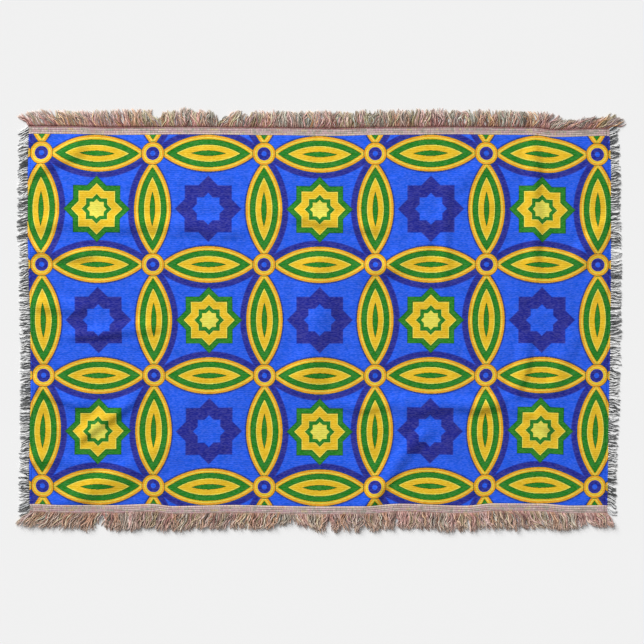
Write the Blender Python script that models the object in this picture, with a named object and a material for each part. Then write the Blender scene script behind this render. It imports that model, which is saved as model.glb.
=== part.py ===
"""A woven cotton throw blanket, laid out flat with soft creases and a fringe on all four sides.

Units are metres and +Z is up. The origin is on the surface that the throw lies on, under the
middle of its overall box. +X runs along the long side of the throw and +Y along its short side.

The cloth is drawn in its own flat frame: u runs along the long side and v along the short side,
both from the middle of the cloth. lay() sets a point of that frame down where it really lies.
"""

import math
import random
from typing import NamedTuple

import bmesh
import bpy
from mathutils import Vector
from mathutils.geometry import delaunay_2d_cdt

# Driving sizes of the cloth.
CLOTH_LENGTH = 1.310
CLOTH_HEIGHT = 0.870
SHEET_THICKNESS = 0.002
HEADING_HEIGHT = 0.018
EDGE_STRIP_WIDTH = 0.006
PIECE_GAP = 0.0003
CLOTH_CENTRE = (-0.0025, 0.0055)

# Spacing of the sheet's points: along its edges, on open flat cloth, along a fold, and the closest.
EDGE_STEP = 0.036
OPEN_STEP = 0.055
FOLD_STEP = 0.030
CLOSEST_POINTS = 0.0075
FOLD_CLEARANCE = 0.024

# A fold's upper side is the one that faces this way, towards the top left.
UPPER_SIDE = (-0.45, 0.89)

# Folds fade out over this distance from the rim, so that the fringe starts level.
RIM_FADE = 0.014
CURVE_SAMPLES = 16
FOLD_END_SHARE = 0.30
FOLD_BLEND_POWER = 3.0

# Fringe: number of locks on a long and a short side, the size of one, and how they vary.
LONG_LOCKS = 84
SHORT_LOCKS = 56
LOCK_ROOT_WIDTH = 0.0094
LOCK_TOP_SHARE = 0.55
LENGTH_SPREAD = 0.05
LEAN_SPREAD = 3.0
FRINGE_SEED = 11

# Points closer than this are one point, and a side's key is rounded to this many digits.
MERGE_DISTANCE = 1e-6
KEY_DIGITS = 5
DISPLAY_GAMMA = 2.2


class EdgeRow(NamedTuple):
    """How far the cloth's edge lies out from its straight line at one place."""

    along: float
    out: float


class FringeRow(NamedTuple):
    """The fringe at one place: length of a lock, and its lean towards +u or +v in degrees."""

    along: float
    length: float
    lean: float


class LockStretch(NamedTuple):
    """One stretch of a lock: its share of the length and lean, and its section at the far end."""

    length_share: float
    lean_share: float
    width: float
    thickness: float


class Fold(NamedTuple):
    """A soft ridge: three points of its crest, its rise, and its widths above and below it."""

    start: tuple
    bend: tuple
    end: tuple
    rise: float
    upper: float
    lower: float


LOCK_STRETCHES = (
    LockStretch(0.45, 0.80, 0.0084, 0.0026),
    LockStretch(0.55, 1.15, 0.0042, 0.0014),
)

TOP_EDGE = (
    EdgeRow(-0.65, 0.0025),
    EdgeRow(-0.57, 0.0020),
    EdgeRow(-0.45, -0.0005),
    EdgeRow(-0.30, 0.0010),
    EdgeRow(-0.10, -0.0010),
    EdgeRow(0.03, -0.0030),
    EdgeRow(0.13, -0.0005),
    EdgeRow(0.30, 0.0010),
    EdgeRow(0.48, -0.0005),
    EdgeRow(0.53, -0.0055),
    EdgeRow(0.65, -0.0025),
)

BOTTOM_EDGE = (
    EdgeRow(-0.65, -0.0030),
    EdgeRow(-0.58, -0.0005),
    EdgeRow(-0.47, 0.0000),
    EdgeRow(-0.38, -0.0030),
    EdgeRow(-0.33, 0.0020),
    EdgeRow(-0.20, -0.0005),
    EdgeRow(0.00, 0.0030),
    EdgeRow(0.10, 0.0025),
    EdgeRow(0.18, -0.0035),
    EdgeRow(0.33, 0.0010),
    EdgeRow(0.40, -0.0045),
    EdgeRow(0.50, -0.0040),
    EdgeRow(0.57, 0.0010),
    EdgeRow(0.65, 0.0000),
)

LEFT_EDGE = (
    EdgeRow(-0.43, -0.0020),
    EdgeRow(-0.35, -0.0005),
    EdgeRow(-0.26, -0.0015),
    EdgeRow(-0.17, -0.0038),
    EdgeRow(0.00, -0.0030),
    EdgeRow(0.11, 0.0008),
    EdgeRow(0.20, 0.0028),
    EdgeRow(0.31, 0.0025),
    EdgeRow(0.43, 0.0005),
)

RIGHT_EDGE = (
    EdgeRow(-0.43, -0.0070),
    EdgeRow(-0.27, -0.0050),
    EdgeRow(-0.18, -0.0034),
    EdgeRow(-0.08, -0.0008),
    EdgeRow(0.10, 0.0010),
    EdgeRow(0.34, 0.0010),
    EdgeRow(0.43, -0.0020),
)

TOP_FRINGE = (
    FringeRow(-0.65, 0.046, -42.0),
    FringeRow(-0.55, 0.043, -36.0),
    FringeRow(-0.47, 0.041, -20.0),
    FringeRow(-0.43, 0.043, -8.0),
    FringeRow(-0.30, 0.041, -3.0),
    FringeRow(-0.20, 0.033, 6.0),
    FringeRow(-0.15, 0.033, -6.0),
    FringeRow(-0.10, 0.039, 0.0),
    FringeRow(0.02, 0.042, 3.0),
    FringeRow(0.07, 0.037, -4.0),
    FringeRow(0.15, 0.040, 2.0),
    FringeRow(0.46, 0.039, 5.0),
    FringeRow(0.53, 0.040, 26.0),
    FringeRow(0.60, 0.038, 38.0),
    FringeRow(0.625, 0.040, 46.0),
    FringeRow(0.641, 0.053, 72.0),
)

BOTTOM_FRINGE = (
    FringeRow(-0.65, 0.046, -32.0),
    FringeRow(-0.60, 0.044, -14.0),
    FringeRow(-0.50, 0.046, 5.0),
    FringeRow(-0.47, 0.046, -7.0),
    FringeRow(-0.38, 0.046, 2.0),
    FringeRow(-0.25, 0.043, 0.0),
    FringeRow(-0.06, 0.040, 4.0),
    FringeRow(0.04, 0.044, -7.0),
    FringeRow(0.07, 0.051, 0.0),
    FringeRow(0.12, 0.047, 7.0),
    FringeRow(0.20, 0.049, -2.0),
    FringeRow(0.38, 0.050, 2.0),
    FringeRow(0.52, 0.046, 0.0),
    FringeRow(0.58, 0.038, 6.0),
    FringeRow(0.65, 0.037, 24.0),
)

LEFT_FRINGE = (
    FringeRow(-0.43, 0.030, -34.0),
    FringeRow(-0.37, 0.025, -6.0),
    FringeRow(-0.20, 0.024, 3.0),
    FringeRow(0.00, 0.022, 0.0),
    FringeRow(0.16, 0.026, -3.0),
    FringeRow(0.34, 0.026, 4.0),
    FringeRow(0.40, 0.025, 22.0),
    FringeRow(0.43, 0.028, 42.0),
)

RIGHT_FRINGE = (
    FringeRow(-0.43, 0.028, -26.0),
    FringeRow(-0.37, 0.025, -4.0),
    FringeRow(-0.15, 0.027, 3.0),
    FringeRow(0.05, 0.026, -2.0),
    FringeRow(0.25, 0.026, 2.0),
    FringeRow(0.36, 0.026, 8.0),
    FringeRow(0.43, 0.028, 14.0),
)

# The folds, as they lie from the top left to the bottom right.
FOLDS = (
    Fold((-0.66, 0.336), (-0.605, 0.362), (-0.54, 0.393), 0.0040, 0.022, 0.016),
    Fold((-0.63, 0.219), (-0.42, 0.213), (-0.14, 0.196), 0.0050, 0.026, 0.017),
    Fold((-0.13, 0.250), (0.02, 0.222), (0.15, 0.203), 0.0042, 0.024, 0.016),
    Fold((-0.64, 0.156), (-0.59, 0.150), (-0.53, 0.148), 0.0030, 0.018, 0.014),
    Fold((0.05, 0.128), (0.15, 0.132), (0.25, 0.215), 0.0042, 0.022, 0.016),
    Fold((0.28, 0.310), (0.286, 0.170), (0.282, 0.030), 0.0050, 0.020, 0.018),
    Fold((0.26, 0.278), (0.31, 0.310), (0.38, 0.340), 0.0038, 0.020, 0.016),
    Fold((0.484, 0.470), (0.488, 0.240), (0.482, 0.070), 0.0052, 0.022, 0.017),
    Fold((0.560, 0.140), (0.610, 0.180), (0.655, 0.230), 0.0040, 0.022, 0.016),
    Fold((-0.03, 0.150), (0.003, -0.020), (-0.06, -0.205), 0.0048, 0.032, 0.026),
    Fold((0.00, -0.185), (0.22, -0.196), (0.46, -0.186), 0.0046, 0.026, 0.016),
    Fold((0.47, -0.205), (0.464, -0.110), (0.485, -0.030), 0.0036, 0.020, 0.016),
    Fold((0.56, -0.020), (0.530, -0.090), (0.515, -0.170), 0.0034, 0.020, 0.015),
    Fold((0.26, -0.240), (0.17, -0.330), (0.08, -0.470), 0.0050, 0.024, 0.016),
    Fold((-0.65, 0.026), (-0.59, 0.022), (-0.53, 0.012), 0.0032, 0.020, 0.014),
    Fold((-0.59, -0.030), (-0.47, -0.018), (-0.34, -0.004), 0.0036, 0.022, 0.015),
    Fold((-0.65, -0.130), (-0.60, -0.158), (-0.53, -0.190), 0.0034, 0.020, 0.015),
    Fold((-0.54, -0.276), (-0.478, -0.230), (-0.40, -0.174), 0.0040, 0.022, 0.017),
    Fold((-0.65, -0.312), (-0.59, -0.316), (-0.52, -0.326), 0.0030, 0.020, 0.015),
    Fold((-0.62, -0.420), (-0.47, -0.358), (-0.31, -0.268), 0.0058, 0.026, 0.020),
    Fold((0.42, -0.190), (0.475, -0.214), (0.53, -0.256), 0.0036, 0.018, 0.018),
)


def table_value(rows, column, along):
    """Return a column's value at a place, running smoothly from row to row."""
    if along <= rows[0].along:
        return getattr(rows[0], column)
    for before, after in zip(rows, rows[1:]):
        if along <= after.along:
            share = (along - before.along) / (after.along - before.along)
            share = share * share * (3.0 - 2.0 * share)
            first = getattr(before, column)
            return first + share * (getattr(after, column) - first)
    return getattr(rows[-1], column)


def reach(place, half):
    """Return 0 at the cloth's middle, 1 at its edge and beyond, for one direction."""
    return min(max(place / half, 0.0), 1.0)


def lay(u, v):
    """Return where a point of the flat cloth lies, with the cloth's uneven edges."""
    half_length = CLOTH_LENGTH / 2.0
    half_height = CLOTH_HEIGHT / 2.0
    x = CLOTH_CENTRE[0] + u
    x += reach(u, half_length) * table_value(RIGHT_EDGE, "out", v)
    x -= reach(-u, half_length) * table_value(LEFT_EDGE, "out", v)
    y = CLOTH_CENTRE[1] + v
    y += reach(v, half_height) * table_value(TOP_EDGE, "out", u)
    y -= reach(-v, half_height) * table_value(BOTTOM_EDGE, "out", u)
    return x, y


def fold_point(fold, share):
    """Return the crest point of a fold at a share of its run, on a curve through its bend."""
    start = Vector(fold.start)
    end = Vector(fold.end)
    pull = 2.0 * Vector(fold.bend) - (start + end) / 2.0
    rest = 1.0 - share
    return rest * rest * start + 2.0 * rest * share * pull + share * share * end


def upward_normal(start, end):
    """Return the unit vector across a stretch of crest, on the fold's upper side."""
    run = end - start
    normal = Vector((-run.y, run.x)).normalized()
    return normal if normal.dot(Vector(UPPER_SIDE)) >= 0.0 else -normal


def crest_lines():
    """Return, for each fold, the points of its crest in even steps of its run."""
    steps = range(CURVE_SAMPLES + 1)
    return [[fold_point(fold, step / CURVE_SAMPLES) for step in steps] for fold in FOLDS]


CRESTS = crest_lines()


def one_fold_height(fold, crest, place):
    """Return how high one fold lifts the cloth at a place."""
    best = None
    for step, (start, end) in enumerate(zip(crest, crest[1:])):
        run = end - start
        along = min(max((place - start).dot(run) / run.length_squared, 0.0), 1.0)
        away = place - (start + along * run)
        if best is None or away.length < best[0]:
            side = away.dot(upward_normal(start, end))
            best = (away.length, side, (step + along) / CURVE_SAMPLES)
    distance, side, share = best
    width = fold.upper if side > 0.0 else fold.lower
    if distance >= width:
        return 0.0
    end_share = min(share, 1.0 - share, FOLD_END_SHARE) / FOLD_END_SHARE
    swell = end_share * end_share * (3.0 - 2.0 * end_share)
    profile = (1.0 - (distance / width) ** 2) ** 2
    return fold.rise * swell * profile


def cloth_height(u, v):
    """Return how high the underside of the cloth lies at a place of the flat cloth."""
    place = Vector((u, v))
    total = 0.0
    for fold, crest in zip(FOLDS, CRESTS):
        total += one_fold_height(fold, crest, place) ** FOLD_BLEND_POWER
    rim = min(CLOTH_LENGTH / 2.0 - abs(u), CLOTH_HEIGHT / 2.0 - abs(v))
    fade = min(max(rim / RIM_FADE, 0.0), 1.0)
    return fade * total ** (1.0 / FOLD_BLEND_POWER)


def even_steps(low, high, step):
    """Return evenly spaced places from low to high, both among them."""
    count = max(1, round((high - low) / step))
    return [low + (high - low) * index / count for index in range(count + 1)]


def fold_points(fold):
    """Return the points of the flat cloth that carry a fold's crest, slopes and feet."""
    chord = (Vector(fold.end) - Vector(fold.start)).length
    shares = even_steps(0.0, 1.0, FOLD_STEP / chord)
    crest = [fold_point(fold, share) for share in shares]
    rows = {"crest": [], "feet": [], "slopes": []}
    for index, place in enumerate(crest):
        before = crest[max(index - 1, 0)]
        after = crest[min(index + 1, len(crest) - 1)]
        across = upward_normal(before, after)
        rows["crest"].append(place)
        rows["feet"].extend((place + across * fold.upper, place - across * fold.lower))
        rows["slopes"].extend((place + across * fold.upper / 2.0, place - across * fold.lower / 2.0))
    return rows


def panel_corners():
    """Return the low and high corners of the woven panel in the flat cloth."""
    half_u = CLOTH_LENGTH / 2.0 - EDGE_STRIP_WIDTH - PIECE_GAP
    half_v = CLOTH_HEIGHT / 2.0 - HEADING_HEIGHT - PIECE_GAP
    return (-half_u, -half_v), (half_u, half_v)


def panel_points():
    """Return the flat points of the woven panel: its rim, its folds and a coarse even field."""
    low, high = panel_corners()
    kept = []
    for rim in (low[1], high[1]):
        kept.extend(Vector((u, rim)) for u in long_side_places(rim))
    for v in even_steps(low[1], high[1], EDGE_STEP)[1:-1]:
        kept.extend((Vector((low[0], v)), Vector((high[0], v))))

    def add(candidates, spacing):
        for place in candidates:
            inside = min(place.x - low[0], high[0] - place.x, place.y - low[1], high[1] - place.y)
            if inside < CLOSEST_POINTS:
                continue
            if all((place - other).length >= spacing for other in kept):
                kept.append(place)

    rows = [fold_points(fold) for fold in FOLDS]
    for kind in ("crest", "feet", "slopes"):
        for row in rows:
            add(row[kind], CLOSEST_POINTS)
    field = []
    for line, v in enumerate(even_steps(low[1], high[1], OPEN_STEP)):
        shift = OPEN_STEP / 2.0 if line % 2 else 0.0
        field.extend(Vector((u + shift, v)) for u in even_steps(low[0], high[0], OPEN_STEP))
    add(field, FOLD_CLEARANCE)
    return kept


def side_key(first, second):
    """Return a key for a side of the flat cloth from its two ends, in either order."""
    middle = (Vector(first) + Vector(second)) / 2.0
    return round(middle.x, KEY_DIGITS), round(middle.y, KEY_DIGITS)


def sheet_mesh(points, locks):
    """Return a bmesh of a closed sheet over flat points, with a lock at each root side."""
    flat, _, triangles, _, _, _ = delaunay_2d_cdt(points, [], [], 0, MERGE_DISTANCE)
    mesh = bmesh.new()
    lower = []
    upper = []
    for place in flat:
        x, y = lay(place.x, place.y)
        base = cloth_height(place.x, place.y)
        lower.append(mesh.verts.new((x, y, base)))
        upper.append(mesh.verts.new((x, y, base + SHEET_THICKNESS)))
    sides = set()
    for corners in triangles:
        mesh.faces.new([upper[index] for index in corners])
        mesh.faces.new([lower[index] for index in reversed(corners)])
        sides.update(zip(corners, corners[1:] + corners[:1]))
    for first, second in sorted(sides):
        if (second, first) in sides:
            continue
        root = [lower[first], lower[second], upper[second], upper[first]]
        lock = locks.get(side_key(flat[first], flat[second]))
        if lock:
            grow_lock(mesh, root, lock)
        else:
            mesh.faces.new(root)
    return mesh


def lock_section(mesh, centre, forward, width, thickness):
    """Return a lock's four corners at one place, flat on the surface and narrower on top."""
    across = Vector((-forward.y, forward.x)) * width / 2.0
    low = ((-1.0, 0.0), (1.0, 0.0))
    high = ((LOCK_TOP_SHARE, thickness), (-LOCK_TOP_SHARE, thickness))
    corners = []
    for side, height in low + high:
        place = centre + across * side
        x, y = lay(place.x, place.y)
        corners.append(mesh.verts.new((x, y, height)))
    return corners


def grow_lock(mesh, root, lock):
    """Grow one lock from its root side, in stretches that lean a little further each."""
    centre, outward, length, lean = lock
    along = Vector((abs(outward.y), abs(outward.x)))
    section = root
    for stretch in LOCK_STRETCHES:
        angle = math.radians(lean * stretch.lean_share)
        forward = outward * math.cos(angle) + along * math.sin(angle)
        centre = centre + forward * length * stretch.length_share
        further = lock_section(mesh, centre, forward, stretch.width, stretch.thickness)
        for corner in range(4):
            following = (corner + 1) % 4
            mesh.faces.new((section[corner], section[following], further[following], further[corner]))
        section = further
    mesh.faces.new(section)


def fringe_locks(table, count, low, high, rim, outward, seed):
    """Return the root points of a row of locks, and each lock by the key of its root side.

    low and high are the ends of the row along the edge, rim is the edge's place across it.
    """
    chance = random.Random(seed)
    pitch = (high - low) / count
    roots = []
    locks = {}
    for index in range(count):
        along = low + pitch * (index + 0.5)
        ends = []
        for place in (along - LOCK_ROOT_WIDTH / 2.0, along, along + LOCK_ROOT_WIDTH / 2.0):
            ends.append(Vector((place, rim)) if outward.y else Vector((rim, place)))
        length = table_value(table, "length", along) * (1.0 + chance.uniform(-1.0, 1.0) * LENGTH_SPREAD)
        lean = table_value(table, "lean", along) + chance.uniform(-1.0, 1.0) * LEAN_SPREAD
        roots.extend((ends[0], ends[2]))
        locks[side_key(ends[0], ends[2])] = (ends[1], outward, length, lean)
    return roots, locks


def crossing_places(rim):
    """Return the places along a long side where folds run off it, for extra points there."""
    places = []
    for fold in FOLDS:
        for end in (fold.start, fold.end):
            if end[1] * rim > 0.0 and abs(end[1]) > abs(rim):
                crest = [fold_point(fold, share) for share in even_steps(0.0, 1.0, 1.0 / CURVE_SAMPLES)]
                centre = min(crest, key=lambda place: abs(place.y - rim)).x
                width = (fold.upper + fold.lower) / 2.0
                places.extend(centre + width * share for share in (-1.0, -0.5, 0.0, 0.5, 1.0))
    return places


def long_side_places(rim):
    """Return where the panel and a heading have their shared points along a long side."""
    low, high = panel_corners()
    extra = crossing_places(rim)
    even = [u for u in even_steps(low[0], high[0], EDGE_STEP)
            if all(abs(u - place) > CLOSEST_POINTS for place in extra)]
    return sorted(even + extra)


def heading_mesh(side, table, seed):
    """Return the heading and long fringe of the top side (1) or the bottom side (-1)."""
    low, high = panel_corners()
    rim = side * CLOTH_HEIGHT / 2.0
    inner = side * (CLOTH_HEIGHT / 2.0 - HEADING_HEIGHT)
    outward = Vector((0.0, float(side)))
    roots, locks = fringe_locks(table, LONG_LOCKS, low[0], high[0], rim, outward, seed)
    points = [Vector((u, inner)) for u in long_side_places(side * high[1])]
    points += [Vector((low[0], rim)), Vector((high[0], rim))] + roots
    return sheet_mesh(points, locks)


def edge_mesh(side, table, seed):
    """Return the edge strip and short fringe of the right side (1) or the left side (-1)."""
    low, high = panel_corners()
    top = CLOTH_HEIGHT / 2.0
    rim = side * CLOTH_LENGTH / 2.0
    inner = side * (CLOTH_LENGTH / 2.0 - EDGE_STRIP_WIDTH)
    outward = Vector((float(side), 0.0))
    roots, locks = fringe_locks(table, SHORT_LOCKS, -top, top, rim, outward, seed)
    places = [-top] + even_steps(low[1], high[1], EDGE_STEP) + [top]
    points = [Vector((inner, v)) for v in places]
    points += [Vector((rim, -top)), Vector((rim, top))] + roots
    return sheet_mesh(points, locks)


def panel_mesh():
    """Return the woven panel."""
    return sheet_mesh(panel_points(), {})


def linear_colour(red, green, blue):
    """Return a shader colour from a colour as it looks, in steps from 0 to 255."""
    return tuple((step / 255.0) ** DISPLAY_GAMMA for step in (red, green, blue)) + (1.0,)


def cloth_material(name, colour, roughness):
    """Return a matt fabric material."""
    material = bpy.data.materials.new(name)
    material.use_nodes = True
    shader = material.node_tree.nodes["Principled BSDF"]
    shader.inputs["Base Color"].default_value = linear_colour(*colour)
    shader.inputs["Roughness"].default_value = roughness
    shader.inputs["Metallic"].default_value = 0.0
    return material


def add_piece(name, mesh, material):
    """Put a finished mesh into the scene as one named piece."""
    data = bpy.data.meshes.new(name)
    mesh.to_mesh(data)
    mesh.free()
    data.materials.append(material)
    piece = bpy.data.objects.new(name, data)
    bpy.context.scene.collection.objects.link(piece)
    return piece


def main():
    """Clear the scene and build the throw."""
    for old in list(bpy.data.objects):
        bpy.data.objects.remove(old)
    panel_cloth = cloth_material("panel_cloth", (96, 118, 96), 0.90)
    heading_cloth = cloth_material("heading_cloth", (172, 160, 158), 0.92)
    edge_yarn = cloth_material("edge_yarn", (120, 118, 116), 0.92)
    add_piece("woven_panel", panel_mesh(), panel_cloth)
    add_piece("top_heading", heading_mesh(1, TOP_FRINGE, FRINGE_SEED), heading_cloth)
    add_piece("bottom_heading", heading_mesh(-1, BOTTOM_FRINGE, FRINGE_SEED + 1), heading_cloth)
    add_piece("left_edge", edge_mesh(-1, LEFT_FRINGE, FRINGE_SEED + 2), edge_yarn)
    add_piece("right_edge", edge_mesh(1, RIGHT_FRINGE, FRINGE_SEED + 3), edge_yarn)


main()
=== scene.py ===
"""The looks of a woven cotton throw blanket, laid out flat and seen from straight above.

Sizes are metres. The cloth is drawn in its own flat frame, u along its long side and v along its
short side from its middle, and ClothLie sets each point down where it lies. Every piece stands
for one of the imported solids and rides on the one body, "root".
"""

import logging
import math
from dataclasses import dataclass, field, replace
from enum import Enum
from typing import NamedTuple, Optional, Sequence, Union

import bpy
import numpy as np
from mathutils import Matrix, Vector


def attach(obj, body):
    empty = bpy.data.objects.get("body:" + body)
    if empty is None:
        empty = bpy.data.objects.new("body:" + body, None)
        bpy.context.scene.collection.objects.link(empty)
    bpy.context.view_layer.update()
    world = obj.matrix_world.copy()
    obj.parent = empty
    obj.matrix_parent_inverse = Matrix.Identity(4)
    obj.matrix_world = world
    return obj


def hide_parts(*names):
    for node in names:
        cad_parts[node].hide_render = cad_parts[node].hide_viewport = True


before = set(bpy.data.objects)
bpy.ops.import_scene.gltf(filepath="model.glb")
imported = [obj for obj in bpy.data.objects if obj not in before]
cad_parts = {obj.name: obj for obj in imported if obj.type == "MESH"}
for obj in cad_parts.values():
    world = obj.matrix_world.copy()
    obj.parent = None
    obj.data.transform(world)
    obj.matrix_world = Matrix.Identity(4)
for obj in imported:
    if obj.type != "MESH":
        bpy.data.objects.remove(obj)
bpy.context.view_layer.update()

LOG = logging.getLogger("throw")
BODY = "root"
UV_MAP = "cloth"
YARN_FACTS = "yarn"
TUFT_FACT = "tuft"
FULL_TURN = 2.0 * math.pi

# How far in from its rim a sheet of cloth rounds off, and its height there as a share.
RIM_ROUNDING = 0.0009
RIM_HEIGHT = 0.9

# The spacing of points along a band of plain cloth, and the pitch of a heading's cords.
BAND_STEP = 0.0055
HEADING_CORD = 0.0045

# The sockets of a Mix node that mixes colours.
MIX_SHARE = 0
MIX_FIRST = 6
MIX_SECOND = 7
MIX_RESULT = 2

Colour = tuple[int, int, int]
Number = Union[float, "Wire"]
NewMaterial = tuple[bpy.types.Material, bpy.types.Node]


class EdgeRow(NamedTuple):
    """How far the cloth's edge lies out from its straight line at one place."""

    along: float
    out: float


class FringeRow(NamedTuple):
    """The fringe at one place: a yarn's length, and its lean towards +u or +v in degrees."""

    along: float
    length: float
    lean: float


class Notch(NamedTuple):
    """A parting in a fringe: its place, its half width, and how much shorter the yarns are."""

    along: float
    width: float
    depth: float


class Fold(NamedTuple):
    """A soft ridge: three points of its crest, its rise, and its widths above and below it."""

    start: tuple[float, float]
    bend: tuple[float, float]
    end: tuple[float, float]
    rise: float
    upper: float
    lower: float


class Band(NamedTuple):
    """One band of a motif, measured inwards from its outline: its width and its yarn."""

    width: float
    yarn: "Yarn"


class Yarn(Enum):
    """The woven colours, as they look, in steps from 0 to 255."""

    AMBER = (208, 148, 32)
    YELLOW = (207, 171, 30)
    PALE_YELLOW = (206, 200, 78)
    GREEN = (25, 114, 27)
    DEEP_GREEN = (18, 74, 14)
    BLUE = (24, 82, 213)
    DUSK_BLUE = (25, 49, 156)
    INDIGO = (26, 33, 131)


class Side(Enum):
    """A side of the cloth, by the direction that its fringe leaves it in."""

    TOP = (0, 1)
    BOTTOM = (0, -1)
    LEFT = (-1, 0)
    RIGHT = (1, 0)

    @property
    def is_long(self) -> bool:
        """Whether this is one of the two long sides."""
        return self.value[0] == 0

    @property
    def sign(self) -> int:
        """1 for the top and right sides and -1 for the others."""
        return self.value[0] + self.value[1]


TOP_EDGE = (
    EdgeRow(-0.65, 0.0025),
    EdgeRow(-0.57, 0.0020),
    EdgeRow(-0.45, -0.0005),
    EdgeRow(-0.30, 0.0010),
    EdgeRow(-0.10, -0.0010),
    EdgeRow(0.03, -0.0030),
    EdgeRow(0.13, -0.0005),
    EdgeRow(0.30, 0.0010),
    EdgeRow(0.48, -0.0005),
    EdgeRow(0.53, -0.0055),
    EdgeRow(0.65, -0.0025),
)

BOTTOM_EDGE = (
    EdgeRow(-0.65, -0.0030),
    EdgeRow(-0.58, -0.0005),
    EdgeRow(-0.47, 0.0000),
    EdgeRow(-0.38, -0.0030),
    EdgeRow(-0.33, 0.0020),
    EdgeRow(-0.20, -0.0005),
    EdgeRow(0.00, 0.0030),
    EdgeRow(0.10, 0.0025),
    EdgeRow(0.18, -0.0035),
    EdgeRow(0.33, 0.0010),
    EdgeRow(0.40, -0.0045),
    EdgeRow(0.50, -0.0040),
    EdgeRow(0.57, 0.0010),
    EdgeRow(0.65, 0.0000),
)

LEFT_EDGE = (
    EdgeRow(-0.43, -0.0020),
    EdgeRow(-0.35, -0.0005),
    EdgeRow(-0.26, -0.0015),
    EdgeRow(-0.17, -0.0038),
    EdgeRow(0.00, -0.0030),
    EdgeRow(0.11, 0.0008),
    EdgeRow(0.20, 0.0028),
    EdgeRow(0.31, 0.0025),
    EdgeRow(0.43, 0.0005),
)

RIGHT_EDGE = (
    EdgeRow(-0.43, -0.0070),
    EdgeRow(-0.27, -0.0050),
    EdgeRow(-0.18, -0.0034),
    EdgeRow(-0.08, -0.0008),
    EdgeRow(0.10, 0.0010),
    EdgeRow(0.34, 0.0010),
    EdgeRow(0.43, -0.0020),
)

FOLDS = (
    Fold((-0.690, 0.311), (-0.600, 0.357), (-0.520, 0.396), 0.0064, 0.030, 0.026),
    Fold((-0.70, 0.219), (-0.42, 0.215), (-0.12, 0.197), 0.0062, 0.030, 0.028),
    Fold((-0.15, 0.252), (0.02, 0.222), (0.17, 0.200), 0.0054, 0.027, 0.023),
    Fold((-0.70, 0.162), (-0.59, 0.148), (-0.50, 0.146), 0.0045, 0.024, 0.018),
    Fold((0.052, 0.117), (0.154, 0.121), (0.256, 0.206), 0.0040, 0.032, 0.042),
    Fold((0.281, 0.312), (0.283, 0.170), (0.279, 0.020), 0.0034, 0.022, 0.022),
    Fold((0.26, 0.276), (0.31, 0.310), (0.39, 0.344), 0.0022, 0.030, 0.030),
    Fold((0.478, 0.470), (0.482, 0.240), (0.476, 0.060), 0.0054, 0.024, 0.022),
    Fold((0.551, 0.128), (0.616, 0.182), (0.69, 0.262), 0.0044, 0.026, 0.048),
    Fold((-0.025, 0.172), (-0.006, -0.015), (-0.058, -0.215), 0.0074, 0.056, 0.056),
    Fold((-0.03, -0.180), (0.22, -0.196), (0.48, -0.188), 0.0064, 0.032, 0.023),
    Fold((0.440, -0.205), (0.459, -0.120), (0.473, -0.025), 0.0060, 0.032, 0.020),
    Fold((0.571, -0.010), (0.543, -0.090), (0.526, -0.175), 0.0046, 0.024, 0.036),
    Fold((0.273, -0.231), (0.180, -0.324), (0.090, -0.445), 0.0052, 0.030, 0.025),
    Fold((-0.70, 0.038), (-0.59, 0.031), (-0.52, 0.019), 0.0052, 0.026, 0.022),
    Fold((-0.60, -0.041), (-0.47, -0.027), (-0.33, -0.013), 0.0050, 0.025, 0.019),
    Fold((-0.710, -0.112), (-0.607, -0.164), (-0.510, -0.208), 0.0078, 0.022, 0.022),
    Fold((-0.555, -0.277), (-0.483, -0.223), (-0.395, -0.161), 0.0060, 0.028, 0.021),
    Fold((-0.70, -0.306), (-0.59, -0.316), (-0.50, -0.328), 0.0036, 0.022, 0.022),
    Fold((-0.65, -0.438), (-0.47, -0.358), (-0.29, -0.258), 0.0052, 0.034, 0.042),
    Fold((0.42, -0.188), (0.474, -0.214), (0.539, -0.264), 0.0064, 0.024, 0.024),
)

TOP_FRINGE = (
    FringeRow(-0.655, 0.036, -50.0),
    FringeRow(-0.64, 0.039, -44.0),
    FringeRow(-0.62, 0.041, -38.0),
    FringeRow(-0.55, 0.041, -34.0),
    FringeRow(-0.47, 0.040, -22.0),
    FringeRow(-0.43, 0.042, -8.0),
    FringeRow(-0.380, 0.042, -12.0),
    FringeRow(-0.362, 0.039, -36.0),
    FringeRow(-0.355, 0.037, 4.0),
    FringeRow(-0.30, 0.040, -3.0),
    FringeRow(-0.245, 0.038, -6.0),
    FringeRow(-0.231, 0.036, -14.0),
    FringeRow(-0.224, 0.036, 36.0),
    FringeRow(-0.195, 0.037, 20.0),
    FringeRow(-0.175, 0.036, -6.0),
    FringeRow(-0.166, 0.036, 32.0),
    FringeRow(-0.145, 0.037, 16.0),
    FringeRow(-0.12, 0.038, 0.0),
    FringeRow(0.02, 0.041, 3.0),
    FringeRow(0.07, 0.038, -4.0),
    FringeRow(0.15, 0.039, 2.0),
    FringeRow(0.46, 0.038, 5.0),
    FringeRow(0.490, 0.039, 8.0),
    FringeRow(0.514, 0.041, 30.0),
    FringeRow(0.526, 0.031, 54.0),
    FringeRow(0.560, 0.034, 52.0),
    FringeRow(0.600, 0.038, 46.0),
    FringeRow(0.630, 0.041, 46.0),
    FringeRow(0.648, 0.042, 60.0),
)

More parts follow.
